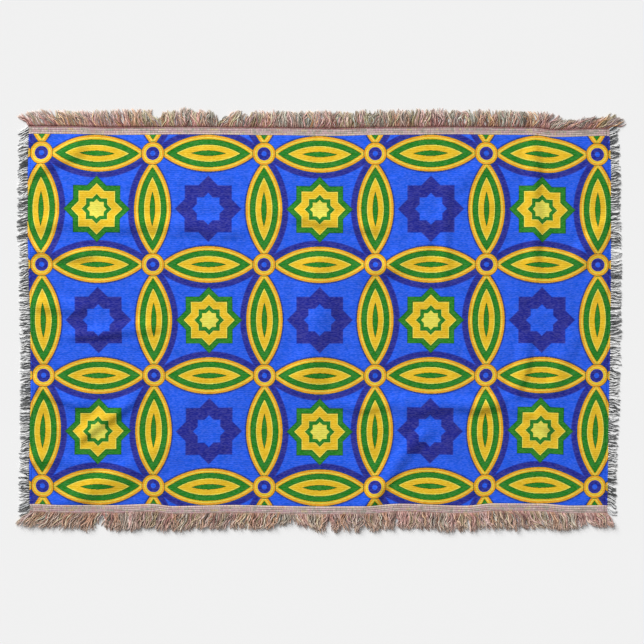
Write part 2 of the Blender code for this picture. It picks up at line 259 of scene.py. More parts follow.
BOTTOM_FRINGE = (
    FringeRow(-0.65, 0.043, -48.0),
    FringeRow(-0.60, 0.042, -34.0),
    FringeRow(-0.55, 0.043, -36.0),
    FringeRow(-0.51, 0.042, -20.0),
    FringeRow(-0.484, 0.042, -2.0),
    FringeRow(-0.44, 0.041, -8.0),
    FringeRow(-0.34, 0.041, -22.0),
    FringeRow(-0.25, 0.040, -26.0),
    FringeRow(-0.19, 0.039, -20.0),
    FringeRow(-0.16, 0.038, -4.0),
    FringeRow(-0.09, 0.037, -20.0),
    FringeRow(-0.055, 0.037, 16.0),
    FringeRow(-0.01, 0.040, 6.0),
    FringeRow(0.04, 0.042, -6.0),
    FringeRow(0.07, 0.043, 0.0),
    FringeRow(0.12, 0.040, 7.0),
    FringeRow(0.20, 0.041, -2.0),
    FringeRow(0.30, 0.043, 2.0),
    FringeRow(0.38, 0.042, 18.0),
    FringeRow(0.46, 0.045, 30.0),
    FringeRow(0.53, 0.043, 22.0),
    FringeRow(0.58, 0.038, 16.0),
    FringeRow(0.65, 0.036, 28.0),
)

LEFT_FRINGE = (
    FringeRow(-0.43, 0.029, -26.0),
    FringeRow(-0.37, 0.024, -6.0),
    FringeRow(-0.20, 0.024, 3.0),
    FringeRow(-0.10, 0.025, 0.0),
    FringeRow(0.03, 0.025, 2.0),
    FringeRow(0.10, 0.023, -6.0),
    FringeRow(0.26, 0.025, -12.0),
    FringeRow(0.34, 0.025, -20.0),
    FringeRow(0.43, 0.025, -26.0),
)

RIGHT_FRINGE = (
    FringeRow(-0.43, 0.024, -24.0),
    FringeRow(-0.37, 0.021, -8.0),
    FringeRow(-0.15, 0.025, -3.0),
    FringeRow(0.05, 0.025, -2.0),
    FringeRow(0.25, 0.024, 2.0),
    FringeRow(0.36, 0.022, 10.0),
    FringeRow(0.43, 0.023, 24.0),
)

TOP_NOTCHES = (
    Notch(-0.358, 0.0060, 0.009),
    Notch(-0.229, 0.0050, 0.006),
    Notch(-0.168, 0.0050, 0.007),
    Notch(0.075, 0.0060, 0.004),
)

BOTTOM_NOTCHES = (
    Notch(-0.490, 0.0095, 0.027),
    Notch(-0.066, 0.0170, 0.015),
    Notch(-0.038, 0.0180, 0.005),
    Notch(0.021, 0.0090, 0.019),
    Notch(0.062, 0.0050, 0.016),
    Notch(0.098, 0.0060, 0.012),
    Notch(0.330, 0.0040, 0.006),
    Notch(0.600, 0.0140, 0.008),
)

LEAF_BANDS = (
    Band(0.0010, Yarn.DEEP_GREEN),
    Band(0.0048, Yarn.AMBER),
    Band(0.0016, Yarn.PALE_YELLOW),
    Band(0.0026, Yarn.YELLOW),
    Band(0.0012, Yarn.DEEP_GREEN),
    Band(0.0105, Yarn.GREEN),
    Band(0.0012, Yarn.DEEP_GREEN),
    Band(0.0018, Yarn.PALE_YELLOW),
    Band(0.0110, Yarn.YELLOW),
    Band(0.0012, Yarn.DEEP_GREEN),
    Band(0.0400, Yarn.GREEN),
)

PLAIN_GROUND_BANDS = (
    Band(0.0020, Yarn.DUSK_BLUE),
    Band(0.2000, Yarn.BLUE),
)

RINGED_GROUND_BANDS = (
    Band(0.0015, Yarn.DUSK_BLUE),
    Band(0.0100, Yarn.INDIGO),
    Band(0.0015, Yarn.DUSK_BLUE),
    Band(0.2000, Yarn.BLUE),
)

INDIGO_STAR_BANDS = (
    Band(0.0015, Yarn.DUSK_BLUE),
    Band(0.0250, Yarn.INDIGO),
    Band(0.0015, Yarn.DUSK_BLUE),
    Band(0.1000, Yarn.BLUE),
)

YELLOW_STAR_BANDS = (
    Band(0.0013, Yarn.DEEP_GREEN),
    Band(0.0095, Yarn.GREEN),
    Band(0.0012, Yarn.DEEP_GREEN),
    Band(0.0018, Yarn.PALE_YELLOW),
    Band(0.0140, Yarn.YELLOW),
    Band(0.0012, Yarn.PALE_YELLOW),
    Band(0.0012, Yarn.DEEP_GREEN),
    Band(0.0070, Yarn.GREEN),
    Band(0.0500, Yarn.PALE_YELLOW),
)

KNOT_BANDS = (
    Band(0.0012, Yarn.DEEP_GREEN),
    Band(0.0048, Yarn.AMBER),
    Band(0.0014, Yarn.PALE_YELLOW),
    Band(0.0040, Yarn.YELLOW),
    Band(0.0012, Yarn.DUSK_BLUE),
    Band(0.0080, Yarn.INDIGO),
    Band(0.0500, Yarn.BLUE),
)


def shader_colour(colour: Colour) -> tuple[float, float, float, float]:
    """Return a shader's colour from one given as it looks.

    Args:
        colour: Red, green and blue in steps from 0 to 255.

    Returns:
        The linear colour with full alpha, by the usual display curve.
    """
    linear = []
    for step in colour:
        share = step / 255.0
        linear.append(share / 12.92 if share <= 0.04045 else ((share + 0.055) / 1.055) ** 2.4)
    return linear[0], linear[1], linear[2], 1.0


def eased(share: np.ndarray) -> np.ndarray:
    """Return a share from 0 to 1 made to start and end softly."""
    return share * share * (3.0 - 2.0 * share)


def table_values(rows: Sequence[NamedTuple], column: str, along: np.ndarray) -> np.ndarray:
    """Return a column's values at places along a side, running smoothly from row to row.

    Args:
        rows: The rows of the table, in order of their places.
        column: The column's name.
        along: The places.

    Returns:
        One value for each place.
    """
    places = np.array([row.along for row in rows])
    values = np.array([getattr(row, column) for row in rows])
    share = np.interp(along, places, np.arange(len(rows)))
    before = np.minimum(np.floor(share).astype(int), len(rows) - 2)
    return values[before] + eased(share - before) * (values[before + 1] - values[before])


@dataclass(frozen=True)
class Ripples:
    """A smooth uneven field made of waves that run in many directions.

    Attributes:
        wavelength: The usual length of a wave.
        seed: The start of its random draws.
        waves: How many waves make it.
        spread: The shortest and the longest wave, as shares of the usual one.
    """

    wavelength: float
    seed: int
    waves: int = 14
    spread: tuple[float, float] = (0.7, 1.5)

    def at(self, u: np.ndarray, v: np.ndarray) -> np.ndarray:
        """Return the field at points of the flat cloth.

        Args:
            u: Places along the long side.
            v: Places along the short side.

        Returns:
            A value for each point, mostly from -1 to 1.
        """
        chance = np.random.default_rng(self.seed)
        total = np.zeros_like(u)
        for _ in range(self.waves):
            heading = chance.uniform(0.0, math.pi)
            count = FULL_TURN / (self.wavelength * chance.uniform(*self.spread))
            phase = chance.uniform(0.0, FULL_TURN)
            total += np.sin(count * (u * math.cos(heading) + v * math.sin(heading)) + phase)
        return total / math.sqrt(self.waves)


@dataclass(frozen=True)
class ClothLie:
    """How the cloth lies: its size, its place, its uneven edges and its folds.

    Attributes:
        length: The cloth's long side without its fringe.
        height: Its short side with both headings.
        thickness: The sheet's thickness.
        heading: The height of a heading.
        strip: The width of the strip along a short side.
        gap: The gap between neighbouring pieces.
        centre: Where the middle of the cloth lies.
        rim_fade: Folds fade out over this distance from the short sides.
        heading_fade: Folds fade out between these distances from the long sides.
        end_share: The share of a fold's run over which it swells at each end.
        blend_power: How folds that meet are joined: higher keeps more of the taller one.
        drift: How far a crest wanders off its own line.
        drift_u: How this drift varies along the long side.
        drift_v: How it varies along the short side.
        unevenness: How far a fold's height varies on its way.
        uneven_limits: The least and the greatest height of a fold, as shares of its rise.
        height_ripples: How the heights of the folds vary.
        lift: How far the cloth lifts off the surface between the folds.
        lift_ripples: How this lift varies.
        flutter: A finer lift on top of it.
        flutter_ripples: How the finer lift varies.
        upper_side: The direction that a fold's upper side faces.
    """

    length: float = 1.310
    height: float = 0.870
    thickness: float = 0.002
    heading: float = 0.018
    strip: float = 0.006
    gap: float = 0.0003
    centre: tuple[float, float] = (-0.0025, 0.0055)
    rim_fade: float = 0.010
    heading_fade: tuple[float, float] = (0.006, 0.024)
    end_share: float = 0.22
    blend_power: float = 3.0
    drift: float = 0.0028
    drift_u: Ripples = Ripples(0.110, 41)
    drift_v: Ripples = Ripples(0.110, 42)
    unevenness: float = 0.30
    uneven_limits: tuple[float, float] = (0.35, 1.45)
    height_ripples: Ripples = Ripples(0.120, 43)
    lift: float = 0.00050
    lift_ripples: Ripples = Ripples(0.110, 3)
    flutter: float = 0.00014
    flutter_ripples: Ripples = Ripples(0.036, 4)
    upper_side: tuple[float, float] = (-0.45, 0.89)

    @property
    def panel_u(self) -> float:
        """Half the length of the woven panel."""
        return self.length / 2.0 - self.strip - self.gap

    @property
    def panel_v(self) -> float:
        """Half the height of the woven panel."""
        return self.height / 2.0 - self.heading - self.gap

    def lay(self, u: np.ndarray, v: np.ndarray) -> tuple[np.ndarray, np.ndarray]:
        """Return where points of the flat cloth lie, with its uneven edges.

        Args:
            u: Places along the long side.
            v: Places along the short side.

        Returns:
            The x and y of each point.
        """
        right = np.clip(2.0 * u / self.length, 0.0, 1.0)
        left = np.clip(-2.0 * u / self.length, 0.0, 1.0)
        top = np.clip(2.0 * v / self.height, 0.0, 1.0)
        bottom = np.clip(-2.0 * v / self.height, 0.0, 1.0)
        x = self.centre[0] + u + right * table_values(RIGHT_EDGE, "out", v)
        x = x - left * table_values(LEFT_EDGE, "out", v)
        y = self.centre[1] + v + top * table_values(TOP_EDGE, "out", u)
        y = y - bottom * table_values(BOTTOM_EDGE, "out", u)
        return x, y

    def crest(self, fold: Fold, steps: int = 24) -> np.ndarray:
        """Work out a fold's crest, a curve that passes through its bend.

        Args:
            fold: The fold.
            steps: How many straight steps the curve is made of.

        Returns:
            The points of the curve on the flat cloth.
        """
        start, bend, end = (np.array(point) for point in (fold.start, fold.bend, fold.end))
        pull = 2.0 * bend - (start + end) / 2.0
        share = np.linspace(0.0, 1.0, steps + 1)[:, None]
        return (1.0 - share) ** 2 * start + 2.0 * share * (1.0 - share) * pull + share**2 * end

    def one_fold(self, fold: Fold, u: np.ndarray, v: np.ndarray) -> np.ndarray:
        """Work out how high one fold lifts the cloth.

        Args:
            fold: The fold.
            u: Places along the long side.
            v: Places along the short side.

        Returns:
            The lift at each point.
        """
        crest = self.crest(fold)
        best = np.full(u.shape, np.inf)
        side = np.zeros(u.shape)
        share = np.zeros(u.shape)
        stretches = len(crest) - 1
        for step in range(stretches):
            run = crest[step + 1] - crest[step]
            across = np.array((-run[1], run[0])) / np.hypot(*run)
            if across @ np.array(self.upper_side) < 0.0:
                across = -across
            away_u = u - crest[step][0]
            away_v = v - crest[step][1]
            along = np.clip((away_u * run[0] + away_v * run[1]) / (run @ run), 0.0, 1.0)
            away_u = away_u - along * run[0]
            away_v = away_v - along * run[1]
            distance = np.hypot(away_u, away_v)
            nearer = distance < best
            best = np.where(nearer, distance, best)
            side = np.where(nearer, away_u * across[0] + away_v * across[1], side)
            share = np.where(nearer, (step + along) / stretches, share)
        width = np.where(side > 0.0, fold.upper, fold.lower)
        swell = np.minimum(np.minimum(share, 1.0 - share), self.end_share) / self.end_share
        profile = np.clip(1.0 - (best / width) ** 2, 0.0, 1.0) ** 2
        return fold.rise * eased(swell) * profile

    def rim_share(self, u: np.ndarray, v: np.ndarray) -> np.ndarray:
        """Work out how much of a fold's height is left near the cloth's rim.

        Args:
            u: Places along the long side.
            v: Places along the short side.

        Returns:
            0 on the rim and 1 where the folds have their full height.
        """
        from_side = (self.length / 2.0 - np.abs(u)) / self.rim_fade
        least, most = self.heading_fade
        from_long_side = (self.height / 2.0 - np.abs(v) - least) / (most - least)
        return np.clip(np.minimum(from_side, from_long_side), 0.0, 1.0)

    def fold_height(self, u: np.ndarray, v: np.ndarray) -> np.ndarray:
        """Work out how high all the folds lift the underside of the cloth.

        Args:
            u: Places along the long side.
            v: Places along the short side.

        Returns:
            The lift at each point.
        """
        wandered_u = u + self.drift * self.drift_u.at(u, v)
        wandered_v = v + self.drift * self.drift_v.at(u, v)
        total = np.zeros_like(u)
        for fold in FOLDS:
            total += self.one_fold(fold, wandered_u, wandered_v) ** self.blend_power
        uneven = np.clip(1.0 + self.unevenness * self.height_ripples.at(u, v), *self.uneven_limits)
        return self.rim_share(u, v) * uneven * total ** (1.0 / self.blend_power)

    def underside(self, u: np.ndarray, v: np.ndarray) -> np.ndarray:
        """Work out the height of the cloth's underside, with its slight lifts between the folds.

        Args:
            u: Places along the long side.
            v: Places along the short side.

        Returns:
            The height at each point.
        """
        lift = self.lift * (1.0 + self.lift_ripples.at(u, v))
        lift = lift + self.flutter * self.flutter_ripples.at(u, v)
        lift = np.clip(lift, 0.0, None) * self.rim_share(u, v)
        return self.fold_height(u, v) + lift


CLOTH = ClothLie()


class Wire:
    """A value inside a shader's node tree, which takes part in sums as a number does."""

    def __init__(self, tree: bpy.types.NodeTree, socket: bpy.types.NodeSocket) -> None:
        """Hold an output socket of a node in a tree."""
        self.tree = tree
        self.socket = socket

    def math(self, operation: str, *others: Number) -> "Wire":
        """Return the result of a Math node whose first value is this one.

        Args:
            operation: The node's operation.
            others: Its further values.

        Returns:
            The node's output.
        """
        node = self.tree.nodes.new("ShaderNodeMath")
        node.operation = operation
        for place, value in zip(node.inputs, (self,) + others):
            feed(self.tree, value, place)
        return Wire(self.tree, node.outputs[0])

    def __add__(self, other: Number) -> "Wire":
        """Return the sum."""
        return self.math("ADD", other)

    def __sub__(self, other: Number) -> "Wire":
        """Return the difference."""
        return self.math("SUBTRACT", other)

    def __mul__(self, other: Number) -> "Wire":
        """Return the product."""
        return self.math("MULTIPLY", other)

    def __truediv__(self, other: Number) -> "Wire":
        """Return the quotient."""
        return self.math("DIVIDE", other)

    def __abs__(self) -> "Wire":
        """Return the value without its sign."""
        return self.math("ABSOLUTE")

    def floor(self) -> "Wire":
        """Return the whole number at or below the value."""
        return self.math("FLOOR")

    def least(self, other: Number) -> "Wire":
        """Return the smaller of the two."""
        return self.math("MINIMUM", other)

    def most(self, other: Number) -> "Wire":
        """Return the larger of the two."""
        return self.math("MAXIMUM", other)

    def above(self, other: Number) -> "Wire":
        """Return 1 where the value is above the other and 0 elsewhere."""
        return self.math("GREATER_THAN", other)

    def rest(self) -> "Wire":
        """Return 1 less the value."""
        return self * -1.0 + 1.0

    def hypot(self, other: "Wire") -> "Wire":
        """Return the length of the vector that the two values make."""
        return (self * self + other * other).math("SQRT")

    def wave(self, period: Number) -> "Wire":
        """Return a wave from 0 to 1 that repeats after a period of the value."""
        return (self / period * FULL_TURN).math("SINE") * 0.5 + 0.5


def feed(tree: bpy.types.NodeTree, value: Union[Number, tuple], place: bpy.types.NodeSocket) -> None:
    """Give an input socket its value.

    Args:
        tree: The node tree.
        value: A wire or a plain value.
        place: The socket.
    """
    if isinstance(value, Wire):
        tree.links.new(value.socket, place)
    else:
        place.default_value = value


def add_node(tree: bpy.types.NodeTree, kind: str, result: Union[str, int] = 0,
             settings: Optional[dict] = None, **inputs: Union[Number, tuple]) -> Wire:
    """Add a node, give its inputs their values and return one of its outputs.

    Args:
        tree: The node tree.
        kind: The node's type.
        result: The name or number of the output that is wanted.
        settings: Properties of the node itself.
        inputs: Values for its input sockets, with _ for a space in a socket's name.

    Returns:
        The output as a wire.
    """
    node = tree.nodes.new(kind)
    for name, value in (settings or {}).items():
        setattr(node, name, value)
    for name, value in inputs.items():
        feed(tree, value, node.inputs[name.replace("_", " ")])
    return Wire(tree, node.outputs[result])


def parts_of(vector: Wire) -> tuple[Wire, Wire, Wire]:
    """Return the three parts of a vector.

    Args:
        vector: The vector.

    Returns:
        Its X, Y and Z.
    """
    node = vector.tree.nodes.new("ShaderNodeSeparateXYZ")
    vector.tree.links.new(vector.socket, node.inputs[0])
    across, along, up = (Wire(vector.tree, output) for output in node.outputs)
    return across, along, up


def mix_colours(tree: bpy.types.NodeTree, share: Number, first: Union[Wire, tuple],
                second: Union[Wire, tuple], blend: str = "MIX") -> Wire:
    """Mix two colours.

    Args:
        tree: The node tree.
        share: The share of the second colour.
        first: The first colour.
        second: The second colour.
        blend: How the second colour is laid over the first.

    Returns:
        The mixed colour.
    """
    node = tree.nodes.new("ShaderNodeMix")
    node.data_type = "RGBA"
    node.blend_type = blend
    feed(tree, share, node.inputs[MIX_SHARE])
    feed(tree, first, node.inputs[MIX_FIRST])
    feed(tree, second, node.inputs[MIX_SECOND])
    return Wire(tree, node.outputs[MIX_RESULT])


def shaded(tree: bpy.types.NodeTree, colour: Union[Wire, tuple], shade: Wire) -> Wire:
    """Return a colour made lighter or darker by a factor."""
    grey = add_node(tree, "ShaderNodeCombineXYZ", X=shade, Y=shade, Z=shade)
    return mix_colours(tree, 1.0, colour, grey, "MULTIPLY")


def ramp_of(tree: bpy.types.NodeTree, value: Wire, stops: Sequence[tuple[float, Colour]],
            stepped: bool) -> Wire:
    """Return a Color Ramp's colour.

    Args:
        tree: The node tree.
        value: The ramp's position, from 0 to 1.
        stops: Positions and colours, in order.
        stepped: Whether colours change at once and not gradually.

    Returns:
        The colour.
    """
    node = tree.nodes.new("ShaderNodeValToRGB")
    ramp = node.color_ramp
    ramp.interpolation = "CONSTANT" if stepped else "LINEAR"
    while len(ramp.elements) < len(stops):
        ramp.elements.new(1.0)
    for element, (place, colour) in zip(ramp.elements, stops):
        element.position = place
        element.color = shader_colour(colour)
    tree.links.new(value.socket, node.inputs[0])
    return Wire(tree, node.outputs[0])


def shares_of(tree: bpy.types.NodeTree, value: Wire, parts: Sequence[tuple[float, Colour]]) -> Wire:
    """Return the colour whose share of the whole a value falls in.

    Args:
        tree: The node tree.
        value: The value, from 0 to 1.
        parts: The colours in order, each after its share, in any unit.

    Returns:
        The colour.
    """
    total = sum(share for share, _ in parts)
    stops = []
    reached = 0.0
    for share, colour in parts:
        stops.append((reached / total, colour))
        reached += share
    return ramp_of(tree, value, stops, stepped=True)


def band_colour(tree: bpy.types.NodeTree, depth: Wire, bands: Sequence[Band]) -> Wire:
    """Return the colour of a motif at a depth inwards from its outline."""
    parts = [(band.width, band.yarn.value) for band in bands]
    return shares_of(tree, depth / sum(band.width for band in bands), parts)


class Group:
    """A shader node group with named sockets, which materials share."""

    def __init__(self, name: str, inputs: dict[str, str], outputs: dict[str, str]) -> None:
        """Make the group's tree and its sockets.

        Args:
            name: The group's name.
            inputs: Socket types by input name.
            outputs: Socket types by output name.
        """
        self.tree = bpy.data.node_groups.new(name, "ShaderNodeTree")
        for label, kind in inputs.items():
            self.tree.interface.new_socket(label, in_out="INPUT", socket_type=kind)
        for label, kind in outputs.items():
            self.tree.interface.new_socket(label, in_out="OUTPUT", socket_type=kind)
        self.entry = self.tree.nodes.new("NodeGroupInput")
        self.exit = self.tree.nodes.new("NodeGroupOutput")

    def wire(self, label: str) -> Wire:
        """Return one of the group's inputs."""
        return Wire(self.tree, self.entry.outputs[label])

    def give(self, label: str, value: Wire) -> None:
        """Feed one of the group's outputs."""
        self.tree.links.new(value.socket, self.exit.inputs[label])

    def place(self, tree: bpy.types.NodeTree, **inputs: Union[Number, tuple]) -> dict[str, Wire]:
        """Place the group in a material.

        Args:
            tree: The material's node tree.
            inputs: Values for the group's inputs, with _ for a space in an input's name.

        Returns:
            The group's outputs by name.
        """
        node = tree.nodes.new("ShaderNodeGroup")
        node.node_tree = self.tree
        for name, value in inputs.items():
            feed(tree, value, node.inputs[name.replace("_", " ")])
        return {socket.name: Wire(tree, socket) for socket in node.outputs}


def weave_group() -> Group:
    """Return the group for a ribbed weave.

    Its picks run along the cloth's long side, and its ends along the short side.

    Returns:
        A group with the weave's height, its shade (painted shade in the troughs of the heavier ribs,
        with random grain), and the share of the ends that shows through.
    """
    group = Group("Ribbed weave",
                  {"Cloth": "NodeSocketVector", "Pick": "NodeSocketFloat",
                   "End": "NodeSocketFloat"},
                  {"Height": "NodeSocketFloat", "Shade": "NodeSocketFloat",
                   "Warp": "NodeSocketFloat"})
    tree = group.tree

    # A pick is made of short grains, each of one shade, which start out of line with the next
    # pick's. A slub is a thicker stretch of yarn, longer than it is high.
    sways_per_metre = 28.0
    picks_per_heavy_rib = 3.0
    ends_per_grain = 3.8
    row_offset = 9.0
    slub_ends = 0.26
    slub_picks = 0.66
    sway = add_node(tree, "ShaderNodeTexNoise", Vector=group.wire("Cloth"), Scale=sways_per_metre,
                    Detail=2.0)
    pick = group.wire("Pick")
    end = group.wire("End")
    across, level, _ = parts_of(group.wire("Cloth"))
    along = level + sway * pick
    rib = along.wave(pick)
    heavy = along.wave(pick * picks_per_heavy_rib)
    thread = across.wave(end)
    row = (along / pick).floor()
    start = add_node(tree, "ShaderNodeTexWhiteNoise", "Value",
                     settings={"noise_dimensions": "1D"}, W=row)
    stretch = (across / (end * ends_per_grain) + start * row_offset).floor()
    cell = add_node(tree, "ShaderNodeCombineXYZ", X=stretch, Y=row)
    grain, _, _ = parts_of(add_node(tree, "ShaderNodeTexWhiteNoise", "Color", Vector=cell))
    slub_place = add_node(tree, "ShaderNodeCombineXYZ", X=across / end * slub_ends,
                          Y=along / pick * slub_picks)
    slub = add_node(tree, "ShaderNodeTexNoise", Vector=slub_place, Scale=1.0, Detail=1.0)
    group.give("Height", rib * 0.35 + heavy * 0.30 + thread * 0.10 + slub * 0.25)
    uneven = (grain - 0.5) * 0.20 + (slub - 0.5) * 0.10
    # Painted shade in the troughs between the heavier ribs, with the random tone of grains and slubs.
    group.give("Shade", (heavy - 0.5) * 0.18 + uneven + 1.0)
    group.give("Warp", uneven * 0.24 + 0.014)
    return group


def mottle_group() -> Group:
    """Return the group for soft blotches of a size and strength.

    Returns:
        A group with a shade that varies round 1, and the bare blotches from 0 to 1.
    """
    group = Group("Soft mottle",
                  {"Cloth": "NodeSocketVector", "Size": "NodeSocketFloat",
                   "Strength": "NodeSocketFloat"},
                  {"Shade": "NodeSocketFloat", "Blotch": "NodeSocketFloat"})
    tree = group.tree
    scale = group.wire("Size").math("POWER", -1.0)
    noise = add_node(tree, "ShaderNodeTexNoise", Vector=group.wire("Cloth"), Scale=scale, Detail=3.0,
                     Roughness=0.6)
    group.give("Shade", (noise - 0.5) * group.wire("Strength") * 2.0 + 1.0)
    group.give("Blotch", noise)
    return group


def motif_group(repeat: float = 0.250) -> Group:
    """Return the group for the woven repeat: leaves on a square net, with stars between them.

    Args:
        repeat: The side of one square of the net.

    Returns:
        A group with the colour at a point of the flat cloth.
    """
    group = Group("Leaf and star repeat", {"Cloth": "NodeSocketVector"},
                  {"Colour": "NodeSocketColor"})
    tree = group.tree

    # The design is woven in steps of an end and a pick. Circles round the middles of the net's
    # squares overlap as leaves along its sides, and two squares make a star. Both are measured
    # in shares of the repeat.
    end_step = 0.0006
    pick_step = 0.0008
    leaf_circle = 0.668
    star_share = 0.212
    knot_size = 0.0265
    cloth_u, cloth_v, _ = parts_of(group.wire("Cloth"))
    u = ((cloth_u / end_step).floor() + 0.5) * (end_step / repeat)
    v = ((cloth_v / pick_step).floor() + 0.5) * (pick_step / repeat)
    column = (u + 0.5).floor()
    row = (v + 0.5).floor()
    across = abs(u - column)
    up = abs(v - row)
    odd = (column + row).math("FLOORED_MODULO", 2.0).above(0.5)
    beside = across.rest().hypot(up)
    over = across.hypot(up.rest())
    leaf = (beside.least(over) * -1.0 + leaf_circle) * repeat
    square = across.most(up) - star_share
    diamond = (across + up) * math.sqrt(0.5) - star_share
    star = square.least(diamond) * -repeat
    knot = (across * -1.0 + 0.5).hypot(up * -1.0 + 0.5) * -repeat + knot_size
    ground = mix_colours(tree, odd, band_colour(tree, leaf * -1.0, PLAIN_GROUND_BANDS),
                         band_colour(tree, leaf * -1.0, RINGED_GROUND_BANDS))
    stars = mix_colours(tree, odd, band_colour(tree, star, INDIGO_STAR_BANDS),
                        band_colour(tree, star, YELLOW_STAR_BANDS))
    colour = mix_colours(tree, leaf.above(0.0), ground, band_colour(tree, leaf, LEAF_BANDS))
    colour = mix_colours(tree, star.above(0.0), colour, stars)
    colour = mix_colours(tree, knot.above(0.0), colour, band_colour(tree, knot, KNOT_BANDS))
    group.give("Colour", colour)
    return group


def twist_group() -> Group:
    """Return the group for a plied yarn.

    Returns:
        A group with the height and the shade of the yarn's turns along its run.
    """
    group = Group("Plied twist", {"Run": "NodeSocketFloat", "Turn": "NodeSocketFloat"},
                  {"Height": "NodeSocketFloat", "Shade": "NodeSocketFloat"})
    contrast = 0.14
    groove_shade = 0.88
    turns = group.wire("Run").wave(group.wire("Turn"))
    group.give("Height", turns)
    group.give("Shade", turns * contrast + groove_shade)
    return group


@dataclass(frozen=True)
class SharedEffects:
    """The node groups that the materials share.

    Attributes:
        weave: The ribbed weave.
        mottle: Soft blotches.
        motif: The woven repeat.
        twist: The turns of a plied yarn.
    """

    weave: Group
    mottle: Group
    motif: Group
    twist: Group

    @classmethod
    def make(cls) -> "SharedEffects":
        """Build each group once."""
        return cls(weave_group(), mottle_group(), motif_group(), twist_group())


def new_material(name: str, values: dict[str, Union[float, tuple]]) -> NewMaterial:
    """Return a new material and its shader, with the plain values set.

    Args:
        name: The material's name.
        values: The shader's plain values by socket name.

    Returns:
        The material and its Principled BSDF.
    """
    material = bpy.data.materials.new(name)
    material.use_nodes = True
    shader = material.node_tree.nodes["Principled BSDF"]
    for label, value in values.items():
        shader.inputs[label].default_value = value
    return material, shader


def cotton(name: str, sheen: float) -> NewMaterial:
    """Return a new matt cotton material and its shader.

    Args:
        name: The material's name.
        sheen: The weight of the soft sheen of its fibres.

    Returns:
        The material and its Principled BSDF.
    """
    return new_material(name, {"Roughness": 0.9, "Specular IOR Level": 0.12,
                               "Sheen Weight": sheen, "Sheen Roughness": 0.5})


def set_relief(tree: bpy.types.NodeTree, shader: bpy.types.Node, height: Wire, depth: float) -> None:
    """Give a shader a bump of a real depth."""
    bump = add_node(tree, "ShaderNodeBump", Strength=1.0, Distance=depth, Height=height)
    tree.links.new(bump.socket, shader.inputs["Normal"])


@dataclass(frozen=True)
class PanelFinish:
    """The jacquard weave of the panel, in flat colours with a fine rib along the long side.

    Attributes:
        pick: The pitch of the picks.
        end: The pitch of the ends.
        relief: The depth of the weave.
        warp: The colour of the ends, which show through a little.
        blotch: The size of its lighter and darker blotches.
        blotch_strength: How far these vary its shade.
        warm_blotch: The size of its warmer blotches.
        warm_from: Where a warmer blotch starts, from 0 to 1.
        warm_gain: How fast its tint grows from there.
        warm_tint: The linear tint of a warmer blotch.
    """

    pick: float = 0.0015
    end: float = 0.0013
    relief: float = 0.00030
    warp: Colour = (224, 214, 204)
    blotch: float = 0.030
    blotch_strength: float = 0.10
    warm_blotch: float = 0.016
    warm_from: float = 0.38
    warm_gain: float = 2.4
    warm_tint: tuple[float, float, float, float] = (1.0, 0.90, 0.82, 1.0)

    def material(self, effects: SharedEffects) -> bpy.types.Material:
        """Make the panel's material.

        Args:
            effects: The shared node groups.

        Returns:
            The material.
        """
        material, shader = cotton("jacquard_cotton", sheen=0.02)
        tree = material.node_tree
        place = add_node(tree, "ShaderNodeUVMap", settings={"uv_map": UV_MAP})
        weave = effects.weave.place(tree, Cloth=place, Pick=self.pick, End=self.end)
        blotch = effects.mottle.place(tree, Cloth=place, Size=self.blotch,
                                      Strength=self.blotch_strength)
        warm = effects.mottle.place(tree, Cloth=place, Size=self.warm_blotch)
        colour = effects.motif.place(tree, Cloth=place)["Colour"]
        tint = mix_colours(tree, 1.0, colour, self.warm_tint, "MULTIPLY")
        warmth = (warm["Blotch"] - self.warm_from).most(0.0) * self.warm_gain
        colour = mix_colours(tree, warmth, colour, tint)
        # The weave's painted rib shade and random grain, and the blotches' random tone.
        colour = shaded(tree, colour, weave["Shade"] * blotch["Shade"])
        colour = mix_colours(tree, weave["Warp"].most(0.0), colour, shader_colour(self.warp))
        tree.links.new(colour.socket, shader.inputs["Base Color"])
        set_relief(tree, shader, weave["Height"], self.relief)
        return material


